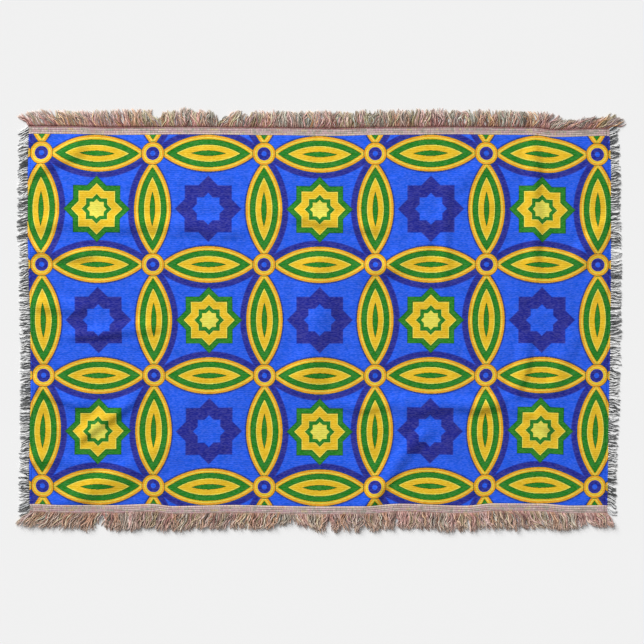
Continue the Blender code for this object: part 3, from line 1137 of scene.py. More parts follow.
@dataclass(frozen=True)
class HeadingFinish:
    """The plain ribbed heading: cords along its length, in pale mixed yarns.

    Attributes:
        name: The material's name.
        root_line: How dark the outermost cord is, from 0 to 1: partly its dark yarn, partly painted
            shade under the fringe's roots.
        tone: How light the whole heading is.
        yarns: Its mixed yarns, each after its place in the mix.
        yarns_per_metre: How often the mix changes along a cord.
        yarn_shift: How far the mix changes from one cord to the next.
        ticks_per_metre: How often its shade changes along a cord.
        tick_shift: How far the shade changes from one cord to the next.
        tick_strength: How far the shade changes.
        painted_groove_shade: The painted shade in the grooves between the cords.
        groove_shade_share: How strongly it shows.
        inner: The paler colour beside the panel.
        inner_share: How strongly it shows.
        root: The colour of the line that the fringe grows from: a dark yarn, deepened with painted
            shade.
        root_width: The width of this line, as a share of a cord.
        pick: The pitch of the picks.
        end: The pitch of the ends.
        relief: The depth of the weave.
    """

    name: str
    root_line: float
    tone: float
    yarns: tuple[tuple[float, Colour], ...] = (
        (0.00, (140, 116, 112)), (0.30, (166, 146, 142)), (0.38, (178, 146, 142)),
        (0.45, (152, 150, 140)), (0.50, (192, 172, 166)), (0.56, (176, 146, 154)),
        (0.62, (188, 176, 148)), (0.70, (186, 134, 112)), (0.78, (160, 164, 170)),
    )
    yarns_per_metre: float = 26.0
    yarn_shift: float = 0.55
    ticks_per_metre: float = 330.0
    tick_shift: float = 3.0
    tick_strength: float = 1.25
    painted_groove_shade: Colour = (112, 84, 80)
    groove_shade_share: float = 0.62
    inner: Colour = (226, 206, 192)
    inner_share: float = 0.6
    root: Colour = (112, 56, 58)
    root_width: float = 0.60
    pick: float = 0.0012
    end: float = 0.0016
    relief: float = 0.00020

    def material(self, effects: SharedEffects) -> bpy.types.Material:
        """Make the heading's material.

        Args:
            effects: The shared node groups.

        Returns:
            The material.
        """
        material, shader = cotton(self.name, sheen=0.02)
        tree = material.node_tree
        place = add_node(tree, "ShaderNodeUVMap", settings={"uv_map": UV_MAP})
        across, along, _ = parts_of(place)
        rim = abs(along) * -1.0 + CLOTH.height / 2.0
        cord = (rim / HEADING_CORD).floor()
        yarn_place = add_node(tree, "ShaderNodeCombineXYZ", X=across * self.yarns_per_metre,
                              Y=cord * self.yarn_shift)
        yarn = add_node(tree, "ShaderNodeTexNoise", Vector=yarn_place, Scale=1.0, Detail=3.0,
                        Roughness=0.62)
        colour = ramp_of(tree, yarn, self.yarns, stepped=False)
        tick_place = add_node(tree, "ShaderNodeCombineXYZ", X=across * self.ticks_per_metre,
                              Y=cord * self.tick_shift)
        tick = add_node(tree, "ShaderNodeTexNoise", Vector=tick_place, Scale=1.0, Detail=1.0)
        between = (rim / HEADING_CORD * FULL_TURN).math("COSINE") * 0.5 + 0.5
        near_panel = (rim / CLOTH.heading).math("POWER", 7.0)
        colour = mix_colours(tree, near_panel * self.inner_share, colour, shader_colour(self.inner))
        # Painted shade in the grooves between the cords, where the relief's hollows lie.
        painted_groove_shade = between.math("POWER", 3.0) * near_panel.rest() * self.groove_shade_share
        colour = mix_colours(tree, painted_groove_shade, colour, shader_colour(self.painted_groove_shade))
        colour = shaded(tree, colour, (tick - 0.5) * self.tick_strength + self.tone)
        # The outermost cord: a dark yarn, deepened with painted shade where the fringe's roots lie
        # over it.
        root = (rim * -1.0 + HEADING_CORD * self.root_width).above(0.0) * self.root_line
        colour = mix_colours(tree, root, colour, shader_colour(self.root))
        tree.links.new(colour.socket, shader.inputs["Base Color"])
        weave = effects.weave.place(tree, Cloth=place, Pick=self.pick, End=self.end)
        set_relief(tree, shader, weave["Height"], self.relief)
        return material


@dataclass(frozen=True)
class YarnFinish:
    """Loose plied yarn, light and dark, in tufts of a tint, with painted shade at its root and paler
    at its tip.

    Attributes:
        name: The material's name.
        colours: The yarns from dark to light, each after its share; the steps are partly painted
            shade and painted highlight.
        tints: The tints of whole tufts, each after its share.
        tinted: How strongly the tints show on the darker yarns.
        root: The colour of the painted shade at the root, in a hue of its own.
        tip: The colour at the tip.
        root_share: How strongly this painted shade shows.
        tip_share: How strongly the tip's colour shows.
        tint_fall: How much less the tints show on the lightest yarns.
        turn: The length of a yarn over which its plies turn once.
        relief: The depth of these turns.
    """

    name: str
    colours: tuple[tuple[float, Colour], ...]
    tints: tuple[tuple[float, Colour], ...]
    tinted: float
    root: Colour
    tip: Colour
    root_share: float
    tip_share: float
    tint_fall: float = 0.35
    turn: float = 0.0032
    relief: float = 0.00025

    def material(self, effects: SharedEffects) -> bpy.types.Material:
        """Make the yarn's material.

        Args:
            effects: The shared node groups.

        Returns:
            The material.
        """
        material, shader = cotton(self.name, sheen=0.04)
        tree = material.node_tree
        tone, share, run = parts_of(add_node(tree, "ShaderNodeAttribute", "Vector",
                                             settings={"attribute_name": YARN_FACTS}))
        tuft = add_node(tree, "ShaderNodeAttribute", "Fac", settings={"attribute_name": TUFT_FACT})
        tint = shares_of(tree, tuft, self.tints)
        tinted = tone.math("POWER", 4.0) * -self.tint_fall + self.tinted
        # The yarns' steps of lightness by tone: partly their own light and dark yarns, partly painted
        # shade and painted highlight.
        colour = mix_colours(tree, tinted, shares_of(tree, tone, self.colours), tint, "MULTIPLY")
        twist = effects.twist.place(tree, Run=run, Turn=self.turn)
        # Painted shade towards the root, where the strands lie crowded against the heading.
        root = share.rest().math("POWER", 3.5) * self.root_share
        tip = share.math("POWER", 3.0) * self.tip_share
        colour = mix_colours(tree, tip, colour, shader_colour(self.tip))
        colour = mix_colours(tree, root, colour, shader_colour(self.root))
        colour = shaded(tree, colour, twist["Shade"])
        tree.links.new(colour.socket, shader.inputs["Base Color"])
        set_relief(tree, shader, twist["Height"], self.relief)
        return material


# The top heading's root line is darker, with more painted shade from its fringe.
TOP_HEADING = HeadingFinish("top_heading_cloth", root_line=0.80, tone=0.87)
BOTTOM_HEADING = HeadingFinish("bottom_heading_cloth", root_line=0.50, tone=0.97)

WARP_TINTS = (
    (1.2, (255, 222, 194)),
    (1.3, (222, 240, 198)),
    (1.5, (246, 218, 236)),
    (1.4, (206, 244, 246)),
    (1.0, (250, 204, 214)),
    (0.8, (228, 232, 255)),
    (1.5, (232, 232, 232)),
    (0.5, (255, 226, 170)),
)

# The warp yarns are steps of one hue from dark to light: partly painted shade and painted highlight,
# with their hues from the tints.
TOP_YARN = YarnFinish(
    name="top_fringe_yarn",
    colours=(
        (1.2, (108, 89, 81)), (1.6, (140, 118, 106)), (1.8, (162, 137, 123)), (1.6, (175, 150, 135)),
        (2.0, (188, 163, 148)), (0.9, (200, 176, 162)), (1.9, (236, 216, 200)),
    ),
    tints=WARP_TINTS,
    tinted=0.99,
    root=(148, 94, 86),
    tip=(226, 212, 196),
    root_share=0.62,
    tip_share=0.45,
)

BOTTOM_YARN = YarnFinish(
    name="bottom_fringe_yarn",
    colours=(
        (1.0, (126, 106, 97)), (1.6, (156, 132, 120)), (1.8, (178, 151, 136)), (1.6, (190, 163, 147)),
        (2.0, (202, 174, 159)), (1.0, (212, 186, 171)), (1.9, (240, 219, 203)),
    ),
    tints=WARP_TINTS,
    tinted=0.74,
    root=(140, 104, 96),
    tip=(228, 200, 182),
    root_share=0.40,
    tip_share=0.60,
)

WEFT_YARN = YarnFinish(
    name="weft_yarn",
    colours=(
        (1.1, (66, 68, 68)), (0.3, (104, 106, 106)), (1.2, (230, 230, 229)), (0.2, (194, 196, 198)),
    ),
    tints=((1.0, (255, 255, 255)),),
    tinted=0.0,
    root=(110, 110, 116),
    tip=(230, 230, 232),
    root_share=0.25,
    tip_share=0.15,
)


def add_object(name: str, points: np.ndarray, faces: Sequence[Sequence[int]],
               materials: Sequence[bpy.types.Material]) -> bpy.types.Object:
    """Put a mesh into the scene as a named, smoothly shaded piece.

    Args:
        name: The piece's name.
        points: Its points.
        faces: The points of each face, by number.
        materials: Its materials, in the order of its slots.

    Returns:
        The new object.
    """
    mesh = bpy.data.meshes.new(name)
    mesh.from_pydata(points.tolist(), [], faces)
    mesh.shade_smooth()
    for material in materials:
        mesh.materials.append(material)
    piece = bpy.data.objects.new(name, mesh)
    bpy.context.scene.collection.objects.link(piece)
    return piece


def grid_faces(number: np.ndarray) -> np.ndarray:
    """Return the four-sided faces of a grid of numbered points, facing up."""
    corners = [number[:-1, :-1], number[:-1, 1:], number[1:, 1:], number[1:, :-1]]
    return np.stack(corners, axis=-1).reshape(-1, 4)


def rim_loop(number: np.ndarray) -> np.ndarray:
    """Return the numbers round the rim of a grid, in turn."""
    return np.concatenate([number[0, :], number[1:, -1], number[-1, -2::-1], number[-2:0:-1, 0]])


class ClothSheet:
    """A closed thin sheet over a grid of the flat cloth, with a coarser underside."""

    def __init__(self, u_places: np.ndarray, v_places: np.ndarray) -> None:
        """Hold the grid's places along both sides of the cloth.

        Args:
            u_places: Places along the long side, rising, an odd number of them.
            v_places: Places along the short side, rising, an odd number of them.
        """
        self.u, self.v = np.meshgrid(u_places, v_places)
        edge_u = np.minimum(self.u - u_places[0], u_places[-1] - self.u)
        edge_v = np.minimum(self.v - v_places[0], v_places[-1] - self.v)
        self.rim = np.minimum(edge_u, edge_v)

    def build(self, name: str, relief: np.ndarray,
              materials: Sequence[bpy.types.Material]) -> bpy.types.Object:
        """Build the sheet as a piece, with the flat cloth as its UV map.

        Args:
            name: The piece's name.
            relief: What stands out from the sheet's own thickness at each point.
            materials: The piece's materials.

        Returns:
            The piece.
        """
        x, y = CLOTH.lay(self.u, self.v)
        low = CLOTH.underside(self.u, self.v)
        share = np.clip(self.rim / RIM_ROUNDING, 0.0, 1.0)
        crown = RIM_HEIGHT + (1.0 - RIM_HEIGHT) * np.sqrt(1.0 - (1.0 - share) ** 2)
        high = low + (CLOTH.thickness + relief) * crown
        upper = np.stack([x, y, high], axis=-1)
        lower = np.stack([x, y, low], axis=-1)[::2, ::2]
        above = np.arange(self.u.size).reshape(self.u.shape)
        below = np.arange(lower.shape[0] * lower.shape[1]).reshape(lower.shape[:2]) + self.u.size
        faces = grid_faces(above).tolist() + grid_faces(below)[:, ::-1].tolist()
        bottom = rim_loop(below)
        top = rim_loop(above)
        after = np.roll(bottom, -1)
        faces += np.stack([bottom, after, np.roll(top, -2)[::2], np.roll(top, -1)[::2], top[::2]],
                          axis=1).tolist()
        points = np.concatenate([upper.reshape(-1, 3), lower.reshape(-1, 3)])
        piece = add_object(name, points, faces, materials)
        flat = np.stack([self.u, self.v], axis=-1)
        flat = np.concatenate([flat.reshape(-1, 2), flat[::2, ::2].reshape(-1, 2)])
        corners = np.concatenate([np.array(face) for face in faces])
        layer = piece.data.uv_layers.new(name=UV_MAP)
        layer.data.foreach_set("uv", flat[corners].astype(np.float32).ravel())
        return piece


def steps(low: float, high: float, size: float) -> np.ndarray:
    """Work out the places of a sheet's points along one side, an odd number of them.

    Args:
        low: The first place.
        high: The last place.
        size: The spacing, about which the places are even.

    Returns:
        The places, with one more near each end, where the sheet rounds off.
    """
    pairs = max(1, round((high - low) / size / 2.0))
    even = np.linspace(low, high, 2 * pairs + 1)
    return np.sort(np.concatenate([even, [low + RIM_ROUNDING, high - RIM_ROUNDING]]))


@dataclass
class WovenPanel:
    """The patterned panel: one sheet that lies on the surface in soft creases.

    Attributes:
        step: The spacing of the sheet's points.
        pucker: How far the weave puckers between the folds.
        fine: Its fine puckers.
        coarse: Its coarse puckers, which are twice as high.
    """

    step: float = 0.0038
    pucker: float = 0.00016
    fine: Ripples = Ripples(0.017, 7)
    coarse: Ripples = Ripples(0.045, 8)

    def build(self, effects: SharedEffects) -> bpy.types.Object:
        """Build the panel.

        Args:
            effects: The shared node groups.

        Returns:
            The piece.
        """
        sheet = ClothSheet(steps(-CLOTH.panel_u, CLOTH.panel_u, self.step),
                           steps(-CLOTH.panel_v, CLOTH.panel_v, self.step))
        relief = self.pucker * (self.fine.at(sheet.u, sheet.v)
                                + 2.0 * self.coarse.at(sheet.u, sheet.v))
        material = PanelFinish().material(effects)
        return sheet.build("panel_cloth_sheet", relief, [material])


@dataclass
class Heading:
    """A plain heading along a long side, woven in cords along its length.

    Attributes:
        side: The side that it lies on.
        step: The spacing of its points across the cords.
        cord_rise: How far a cord stands out.
        sway: How far a cord wanders off its own line.
        sway_length: The usual length of these bends.
        sway_seed: The start of their random draws, to which the side's sign is added.
        grain: How uneven the cords are.
        grain_ripples: How this varies.
    """

    side: Side
    step: float = 0.0006
    cord_rise: float = 0.0007
    sway: float = 0.0004
    sway_length: float = 0.060
    sway_seed: int = 21
    grain: float = 0.00012
    grain_ripples: Ripples = Ripples(0.009, 23)

    def build(self, name: str, material: bpy.types.Material) -> bpy.types.Object:
        """Build the heading.

        Args:
            name: The piece's name.
            material: The heading's material.

        Returns:
            The piece.
        """
        inner = CLOTH.height / 2.0 - CLOTH.heading
        ends = sorted((self.side.sign * inner, self.side.sign * CLOTH.height / 2.0))
        sheet = ClothSheet(steps(-CLOTH.panel_u, CLOTH.panel_u, BAND_STEP), steps(*ends, self.step))
        rim = CLOTH.height / 2.0 - np.abs(sheet.v)
        bends = Ripples(self.sway_length, self.sway_seed + self.side.sign)
        sway = self.sway * bends.at(sheet.u, sheet.v * 0.0)
        relief = self.cord_rise * np.abs(np.sin(math.pi * (rim + sway) / HEADING_CORD))
        relief += self.grain * self.grain_ripples.at(sheet.u, sheet.v)
        return sheet.build(name, relief, [material])


@dataclass
class EdgeStrip:
    """The narrow strip of a short side, patterned like the panel and plain at the headings.

    Attributes:
        side: The side that it lies on.
        step: The spacing of its points across it.
        grain: How uneven it is.
        grain_ripples: How this varies.
    """

    side: Side
    step: float = 0.0012
    grain: float = 0.00015
    grain_ripples: Ripples = Ripples(0.007, 31)

    def build(self, name: str, panel: bpy.types.Material,
              heading: bpy.types.Material) -> bpy.types.Object:
        """Build the strip.

        Args:
            name: The piece's name.
            panel: The panel's material.
            heading: The material of its two plain ends.

        Returns:
            The piece.
        """
        inner = CLOTH.length / 2.0 - CLOTH.strip
        ends = sorted((self.side.sign * inner, self.side.sign * CLOTH.length / 2.0))
        turn = CLOTH.height / 2.0 - CLOTH.heading
        v_places = np.concatenate([steps(-CLOTH.height / 2.0, CLOTH.height / 2.0, BAND_STEP),
                                   [-turn, turn]])
        sheet = ClothSheet(steps(*ends, self.step), np.sort(v_places))
        relief = self.grain * self.grain_ripples.at(sheet.u, sheet.v)
        piece = sheet.build(name, relief, [panel, heading])
        places = piece.data.uv_layers[UV_MAP].data
        for polygon in piece.data.polygons:
            v = sum(places[corner].uv[1] for corner in polygon.loop_indices) / polygon.loop_total
            polygon.material_index = int(abs(v) > turn)
        return piece


@dataclass
class Fringe:
    """A fringe of loose strands, two yarns each, that lie on the surface in clumps.

    Attributes:
        side: The side that it grows from.
        rows: Its lengths and leans along the side.
        notches: Its partings.
        pitch: The distance between roots.
        layers: How many strands grow from each pitch of the side.
        radius: A yarn's radius.
        pile: The height over which the strands lie on each other.
        tip_fall: How far the tips settle, as a share of the height.
        clump: The least and the greatest width of a clump.
        gather: How far a clump's tips draw together.
        rounding: How much shorter a clump is at its sides than in its middle, as a share.
        clump_lean: How far the lean of a clump varies, in degrees.
        strand_lean: How far the lean of a strand varies, in degrees.
        clump_bend: How far a clump turns on its way, in degrees.
        strand_bend: How far a strand turns on its way, in degrees.
        steady_lean: The lean at which these four are halved, in degrees.
        curl: How far a strand waves on its way, in degrees.
        clump_waves: The least and the greatest number of these waves, by clump.
        strand_waves: How far their number varies by strand, as shares.
        dark_share: The share of dark strands where dark and light take turns, or 0.
        mixed: The share of strands whose two yarns differ in colour.
        tuft: The usual length of side over which strands share a tint.
        tuft_range: The shortest and the longest tuft, as shares of the usual one.
        seed: The start of its random draws.
        stations: The number of points along a yarn.
        sides: The number of sides of a yarn.
    """

    side: Side
    rows: Sequence[FringeRow]
    notches: Sequence[Notch] = ()
    pitch: float = 0.0017
    layers: int = 2
    radius: float = 0.00075
    pile: float = 0.0042
    tip_fall: float = 0.35
    clump: tuple[float, float] = (0.008, 0.020)
    gather: float = 0.18
    rounding: float = 0.06
    clump_lean: float = 11.0
    strand_lean: float = 6.0
    clump_bend: float = 50.0
    strand_bend: float = 9.0
    steady_lean: float = 30.0
    curl: float = 26.0
    clump_waves: tuple[float, float] = (0.6, 1.3)
    strand_waves: tuple[float, float] = (0.9, 1.2)
    dark_share: float = 0.0
    mixed: float = 0.40
    tuft: float = 0.012
    tuft_range: tuple[float, float] = (0.3, 1.7)
    seed: int = 1
    stations: int = 8
    sides: int = 4

    def roots(self, chance: np.random.Generator) -> tuple[np.ndarray, np.ndarray, np.ndarray]:
        """Work out where the strands grow from. Each layer parts into clumps of its own.

        Args:
            chance: The random draws.

        Returns:
            The place of each strand's root, the number of its clump, and the clumps' borders.
        """
        half = (CLOTH.length / 2.0 if self.side.is_long else CLOTH.height / 2.0) - 2.0 * self.radius
        count = int(2.0 * half / self.pitch)
        every_along, every_clump, every_border = [], [], []
        for _ in range(self.layers):
            along = np.linspace(-half, half, count) + chance.uniform(-0.5, 0.5, count) * self.pitch
            along = np.clip(along, -half, half)
            borders = [-half - 0.5 * chance.uniform(*self.clump)]
            while borders[-1] < half:
                borders.append(borders[-1] + chance.uniform(*self.clump))
            borders = np.array(borders)
            for notch in self.notches:
                borders[np.abs(borders - notch.along).argmin()] = notch.along
            clump = np.clip(np.searchsorted(borders, along) - 1, 0, len(borders) - 2)
            every_along.append(along)
            every_clump.append(clump + sum(len(earlier) for earlier in every_border))
            every_border.append(borders)
        return tuple(np.concatenate(part) for part in (every_along, every_clump, every_border))

    def directions(self, chance: np.random.Generator, along: np.ndarray, clump: np.ndarray,
                   share: np.ndarray) -> np.ndarray:
        """Work out each strand's direction at its stations.

        Args:
            chance: The random draws.
            along: The place of each strand's root.
            clump: The number of each strand's clump.
            share: The share of a strand's run at its stations.

        Returns:
            The directions, in radians from straight out.
        """
        clumps = int(clump.max()) + 1
        count = along.size
        root_lean = 0.85
        lean_gain = 0.3
        pivot = 0.42
        phase_spread = 0.6
        curl_range = (0.3, 1.4)
        lean = table_values(self.rows, "lean", along)
        steady = 1.0 / (1.0 + np.abs(lean) / self.steady_lean)
        own = chance.normal(0.0, self.clump_lean, clumps)[clump]
        own = (own + chance.normal(0.0, self.strand_lean, count)) * steady
        turning = chance.normal(0.0, self.clump_bend, clumps)[clump]
        turning = (turning + chance.normal(0.0, self.strand_bend, count)) * steady
        wave = chance.uniform(*self.clump_waves, clumps)[clump]
        wave = wave * chance.uniform(*self.strand_waves, count)
        phase = chance.uniform(0.0, FULL_TURN, clumps)[clump]
        phase = phase + chance.normal(0.0, phase_spread, count)
        curl = self.curl * chance.uniform(*curl_range, count)[:, None]
        swing = np.sin(FULL_TURN * wave[:, None] * share + phase[:, None])
        angle = lean[:, None] * (root_lean + lean_gain * share) + own[:, None]
        angle = angle + turning[:, None] * (share - pivot)
        return np.radians(angle + curl * np.minimum(1.0, 3.0 * share) * swing)

    def lengths(self, chance: np.random.Generator, along: np.ndarray, clump: np.ndarray,
                borders: np.ndarray) -> np.ndarray:
        """Work out each strand's length, less at the sides of its clump and at the partings.

        Args:
            chance: The random draws.
            along: The place of each strand's root.
            clump: The number of each strand's clump.
            borders: The clumps' borders.

        Returns:
            The lengths.
        """
        clump_spread = 0.04
        longest = 1.04
        most_lost = 0.24
        rarity = 2.2
        middle_gain = 0.4
        middle = (borders[clump] + borders[clump + 1]) / 2.0
        aside = np.abs(along - middle) / ((borders[clump + 1] - borders[clump]) / 2.0)
        length = table_values(self.rows, "length", along)
        length = length * chance.normal(1.0, clump_spread, len(borders))[clump]
        length = length * (longest - most_lost * chance.random(along.size) ** rarity)
        length = length * (1.0 + self.rounding * (middle_gain - np.clip(aside, 0.0, 1.0) ** 2))
        for notch in self.notches:
            length = length - notch.depth * np.exp(-((along - notch.along) / notch.width) ** 2)
        return length

    def centrelines(self) -> tuple[np.ndarray, np.ndarray, np.ndarray, np.ndarray]:
        """Work out where the middle of each yarn runs.

        Returns:
            The points of each yarn, its tone and its tuft's tint from 0 to 1, and its length.
        """
        chance = np.random.default_rng(self.seed)
        along, clump, borders = self.roots(chance)
        count = along.size
        spread_power = 1.5
        push_share = 0.35
        yarns_apart = 0.85
        level_wave = 0.12
        root_level = 0.35
        middle = (borders[clump] + borders[clump + 1]) / 2.0
        share = np.linspace(0.0, 1.0, self.stations)
        length = self.lengths(chance, along, clump, borders)
        angle = self.directions(chance, along, clump, share)
        push = np.zeros(count)
        for notch in self.notches:
            away = along - notch.along
            near = np.exp(-(away / (2.0 * notch.width)) ** 2)
            push += push_share * notch.depth * np.sign(away) * near
        step = length[:, None] / (self.stations - 1)
        forward = np.cumsum(np.cos(angle) * step, axis=1) - np.cos(angle[:, :1]) * step
        sideways = np.cumsum(np.sin(angle) * step, axis=1) - np.sin(angle[:, :1]) * step
        draw = self.gather * (middle - along)[:, None] * share**spread_power
        sideways = sideways + draw + push[:, None] * share**spread_power
        level = chance.random(count)[:, None]
        level = level + level_wave * np.sin(FULL_TURN * (share + angle[:, :1]))
        rising = root_level + (1.0 - root_level) * np.sqrt(share)
        height = self.radius + self.pile * np.clip(level, 0.0, 1.0) * rising
        height = height * (1.0 - self.tip_fall * share**4)
        tone = self.tones(chance, along)
        other = np.where(chance.random(count) < self.mixed, self.tones(chance, along), tone)
        tint = self.tuft_tints(chance, along, clump)
        turn = chance.uniform(0.0, FULL_TURN, count)[:, None] + FULL_TURN * share
        yarns = []
        for sense in (-1.0, 1.0):
            part = sense * yarns_apart * self.radius
            aside = sideways + part * np.cos(turn) * np.cos(angle)
            out = forward - self.radius - part * np.cos(turn) * np.sin(angle)
            up = np.maximum(height + part * np.sin(turn), self.radius)
            root_line = along[:, None]
            if self.side.is_long:
                x, y = CLOTH.lay(root_line + aside, self.side.sign * (CLOTH.height / 2.0 + out))
            else:
                x, y = CLOTH.lay(self.side.sign * (CLOTH.length / 2.0 + out), root_line + aside)
            yarns.append(np.stack([x, y, up], axis=-1))
        tone = np.concatenate([tone, other])
        return np.concatenate(yarns), tone, np.tile(tint, 2), np.tile(length, 2)

    def tones(self, chance: np.random.Generator, along: np.ndarray) -> np.ndarray:
        """Draw each strand's place between the dark and the light yarns.

        Args:
            chance: The random draws.
            along: The place of each strand's root.

        Returns:
            The places, from 0 to 1.
        """
        own = chance.random(along.size)
        if self.dark_share > 0.0:
            turn = np.round((along - along.min()) / self.pitch)
            light = (turn * self.dark_share) % 1.0 < 1.0 - self.dark_share
            return 0.5 * light + 0.5 * own
        return own

    def tuft_tints(self, chance: np.random.Generator, along: np.ndarray,
                   clump: np.ndarray) -> np.ndarray:
        """Draw each strand's place in the mix of tints. Neighbours often share one.

        Args:
            chance: The random draws.
            along: The place of each strand's root.
            clump: The number of each strand's clump.

        Returns:
            The places, from 0 to 1.
        """
        tuft_share = 0.55
        clump_share = 0.75
        count = int((along.max() - along.min()) / self.tuft) * 2
        borders = along.min() + np.cumsum(chance.uniform(*self.tuft_range, count) * self.tuft)
        by_tuft = chance.random(count + 1)[np.searchsorted(borders, along)]
        by_clump = chance.random(int(clump.max()) + 1)[clump]
        pick = chance.random(along.size)
        shared = np.where(pick < tuft_share, by_tuft, by_clump)
        return np.where(pick < clump_share, shared, chance.random(along.size))

    def rings(self, lines: np.ndarray) -> np.ndarray:
        """Work out the rings of points round the middles of the yarns.

        Args:
            lines: The points of each yarn's middle.

        Returns:
            The points by yarn, station and side, none of them below the surface.
        """
        tip_thinning = 0.5
        run = np.gradient(lines, axis=1)
        run /= np.linalg.norm(run, axis=2, keepdims=True)
        across = np.cross(run, np.array((0.0, 0.0, 1.0)))
        across /= np.linalg.norm(across, axis=2, keepdims=True)
        up = np.cross(across, run)
        radius = self.radius * (1.0 - tip_thinning * np.linspace(0.0, 1.0, self.stations) ** 6)
        turn = FULL_TURN * (np.arange(self.sides) + 0.5) / self.sides
        ring = (np.cos(turn)[:, None] * across[:, :, None, :]
                + np.sin(turn)[:, None] * up[:, :, None, :])
        points = lines[:, :, None, :] + ring * radius[None, :, None, None]
        points[..., 2] = np.maximum(points[..., 2], 0.0)
        return points

    def tube_faces(self, count: int) -> list[list[int]]:
        """Work out the faces of closed tubes.

        Args:
            count: The number of tubes.

        Returns:
            The walls of all the tubes, then their root ends, then their tips, as point numbers.
        """
        number = np.arange(count * self.stations * self.sides)
        number = number.reshape(count, self.stations, self.sides)
        here = number[:, :-1, :]
        beyond = number[:, 1:, :]
        walls = [here, np.roll(here, -1, axis=2), np.roll(beyond, -1, axis=2), beyond]
        faces = np.stack(walls, axis=-1).reshape(-1, 4).tolist()
        return faces + number[:, 0, ::-1].tolist() + number[:, -1, :].tolist()

    def build(self, name: str, material: bpy.types.Material) -> bpy.types.Object:
        """Build all the yarns as one piece of closed tubes.

        Args:
            name: The piece's name.
            material: The yarns' material.

        Returns:
            The piece.
        """
        lines, tone, tint, length = self.centrelines()
        count = len(lines)
        points = self.rings(lines).reshape(-1, 3)
        piece = add_object(name, points, self.tube_faces(count), [material])
        share = np.linspace(0.0, 1.0, self.stations)[None, :, None]
        facts = np.empty((count, self.stations, self.sides, 3), np.float32)
        facts[..., 0] = tone[:, None, None]
        facts[..., 1] = share
        facts[..., 2] = share * length[:, None, None]
        layer = piece.data.attributes.new(YARN_FACTS, "FLOAT_VECTOR", "POINT")
        layer.data.foreach_set("vector", facts.ravel())
        layer = piece.data.attributes.new(TUFT_FACT, "FLOAT", "POINT")
        tints = np.repeat(tint, self.stations * self.sides).astype(np.float32)
        layer.data.foreach_set("value", tints)
        return piece


TOP_LIE = Fringe(Side.TOP, TOP_FRINGE, TOP_NOTCHES, seed=6)

BOTTOM_LIE = Fringe(Side.BOTTOM, BOTTOM_FRINGE, BOTTOM_NOTCHES, pile=0.0072, tip_fall=0.0,
                    gather=0.16, rounding=0.10, clump_lean=7.0, strand_lean=7.0, clump_bend=36.0,
                    curl=30.0, seed=4)

LEFT_LIE = Fringe(Side.LEFT, LEFT_FRINGE, pitch=0.0025, layers=1, radius=0.00080, pile=0.0024,
                  clump=(0.010, 0.030), gather=0.05, rounding=0.0, clump_lean=7.0, strand_lean=9.0,
                  clump_bend=20.0, strand_bend=18.0, curl=18.0, dark_share=0.52, mixed=0.0, seed=8)

RIGHT_LIE = replace(LEFT_LIE, side=Side.RIGHT, rows=RIGHT_FRINGE, pitch=0.0026, dark_share=0.50,
                    seed=10)


@dataclass
class Throw:
    """The whole throw: its panel, headings, edge strips and fringes.

    Attributes:
        effects: The shared node groups.
        pieces: The pieces built so far.
    """

    effects: SharedEffects
    pieces: list[bpy.types.Object] = field(default_factory=list)

    def build(self) -> None:
        """Build every piece and tie it to the solid that it stands for."""
        panel = WovenPanel().build(self.effects)
        self.settle(panel, "woven_panel")
        weft = WEFT_YARN.material(self.effects)
        heading = self.long_side(TOP_LIE, TOP_HEADING, TOP_YARN)
        self.long_side(BOTTOM_LIE, BOTTOM_HEADING, BOTTOM_YARN)
        sides = []
        for lie in (LEFT_LIE, RIGHT_LIE):
            sides += self.short_side(lie, panel.data.materials[0], heading, weft)

    def long_side(self, lie: Fringe, finish: HeadingFinish, yarn: YarnFinish) -> bpy.types.Material:
        """Build a heading and the fringe that grows from it.

        Args:
            lie: How the fringe lies.
            finish: The heading's finish.
            yarn: The fringe's finish.

        Returns:
            The heading's material.
        """
        word = lie.side.name.lower()
        material = finish.material(self.effects)
        heading = Heading(lie.side).build(f"{word}_heading_band", material)
        self.settle(heading, f"{word}_heading")
        fringe = lie.build(f"{word}_fringe_yarns", yarn.material(self.effects))
        self.settle(fringe, f"{word}_heading")
        return material

    def short_side(self, lie: Fringe, panel: bpy.types.Material, heading: bpy.types.Material,
                   weft: bpy.types.Material) -> list[bpy.types.Object]:
        """Build the strip of a short side and the fringe that grows from it.

        Args:
            lie: How the fringe lies.
            panel: The panel's material.
            heading: A heading's material.
            weft: The fringe's material.

        Returns:
            The strip and the fringe.
        """
        word = lie.side.name.lower()
        strip = EdgeStrip(lie.side).build(f"{word}_edge_strip", panel, heading)
        self.settle(strip, f"{word}_edge")
        fringe = lie.build(f"{word}_fringe_yarns", weft)
        self.settle(fringe, f"{word}_edge")
        return [strip, fringe]

    def settle(self, piece: bpy.types.Object, node: str) -> None:
        """Make a piece ride on the body and stand for a solid, whose own mesh is hidden.

        Args:
            piece: The piece.
            node: The solid's name.
        """
        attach(piece, BODY)
        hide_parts(node)
        self.pieces.append(piece)
        LOG.info("%s: %d faces", piece.name, len(piece.data.polygons))


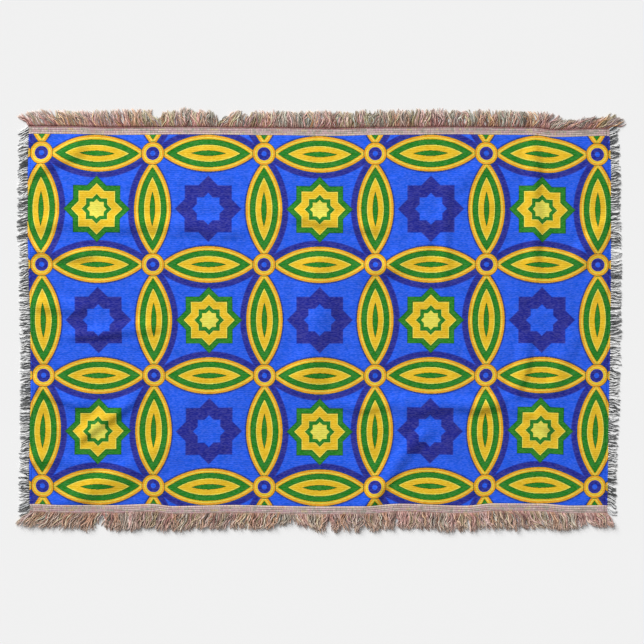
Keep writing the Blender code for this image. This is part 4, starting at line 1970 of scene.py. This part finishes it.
@dataclass
class Studio:
    """The pale floor, the soft light from the upper left, and the camera straight above.

    Attributes:
        eye_height: The camera's height.
        view_width: The width of the floor that the picture shows.
        aim: The point that the camera looks down on.
        sensor: The width of the camera's sensor, in millimetres.
        floor_half: Half the side of the floor.
        floor_grey: How light the floor is.
        key_from: The direction that the key light comes from.
        key_power: Its strength.
        key_angle: How wide its source looks from the throw, in degrees.
        sky_power: The strength of the even surroundings.
        corner_place: Where the corner lamp stands.
        corner_power: Its power in watts.
        corner_size: The side of its square.
    """

    eye_height: float = 4.0
    view_width: float = 1.4503
    aim: tuple[float, float] = (0.0026, 0.0011)
    sensor: float = 36.0
    floor_half: float = 40.0
    floor_grey: float = 0.80
    key_from: tuple[float, float, float] = (-0.70, 0.80, 0.75)
    key_power: float = 4.05
    key_angle: float = 40.0
    sky_power: float = 0.352
    corner_place: tuple[float, float, float] = (-0.70, 1.40, 1.30)
    corner_power: float = 16.0
    corner_size: float = 0.6

    def build(self, pieces: Sequence[bpy.types.Object]) -> None:
        """Build the floor, the lights, the surroundings and the camera.

        Args:
            pieces: The throw's pieces.
        """
        self.floor()
        self.lights()
        self.corner_light(pieces)
        self.camera()
        bpy.context.scene.view_settings.view_transform = "Standard"

    def floor(self) -> None:
        """Build the plain pale floor."""
        grey = (self.floor_grey, self.floor_grey, self.floor_grey, 1.0)
        material, _ = new_material("floor", {"Base Color": grey, "Roughness": 1.0,
                                             "Specular IOR Level": 0.0})
        half = self.floor_half
        corners = np.array([(-half, -half, 0.0), (half, -half, 0.0), (half, half, 0.0),
                            (-half, half, 0.0)])
        floor = add_object("floor", corners, [[0, 1, 2, 3]], [material])

    def lights(self) -> None:
        """Build the soft key light and the even surroundings."""
        key = bpy.data.lights.new("key", "SUN")
        key.energy = self.key_power
        key.angle = math.radians(self.key_angle)
        lamp = bpy.data.objects.new("key", key)
        lamp.rotation_euler = Vector(self.key_from).to_track_quat("Z", "Y").to_euler()
        bpy.context.scene.collection.objects.link(lamp)
        world = bpy.data.worlds.new("studio")
        world.use_nodes = True
        background = world.node_tree.nodes["Background"]
        background.inputs["Color"].default_value = (1.0, 1.0, 1.0, 1.0)
        background.inputs["Strength"].default_value = self.sky_power
        bpy.context.scene.world = world

    def corner_light(self, pieces: Sequence[bpy.types.Object]) -> None:
        """Build the weak lamp over the upper left corner, which lights the throw alone.

        Args:
            pieces: The throw's pieces.
        """
        glow = bpy.data.lights.new("corner", "AREA")
        glow.energy = self.corner_power
        glow.size = self.corner_size
        lamp = bpy.data.objects.new("corner", glow)
        lamp.location = self.corner_place
        bpy.context.scene.collection.objects.link(lamp)
        lit = bpy.data.collections.new("lit by the corner lamp")
        for piece in pieces:
            lit.objects.link(piece)
        lamp.light_linking.receiver_collection = lit

    def camera(self) -> None:
        """Build the camera at the photograph's viewing angle, straight above."""
        data = bpy.data.cameras.new("camera")
        data.sensor_width = self.sensor
        data.lens = self.sensor * self.eye_height / self.view_width
        camera = bpy.data.objects.new("camera", data)
        camera.location = (self.aim[0], self.aim[1], self.eye_height)
        bpy.context.scene.collection.objects.link(camera)
        bpy.context.scene.camera = camera


def main() -> None:
    """Build the throw and its studio."""
    logging.basicConfig(level=logging.INFO, format="%(message)s")
    throw = Throw(SharedEffects.make())
    throw.build()
    Studio().build(throw.pieces)


if __name__ == "__main__":
    main()
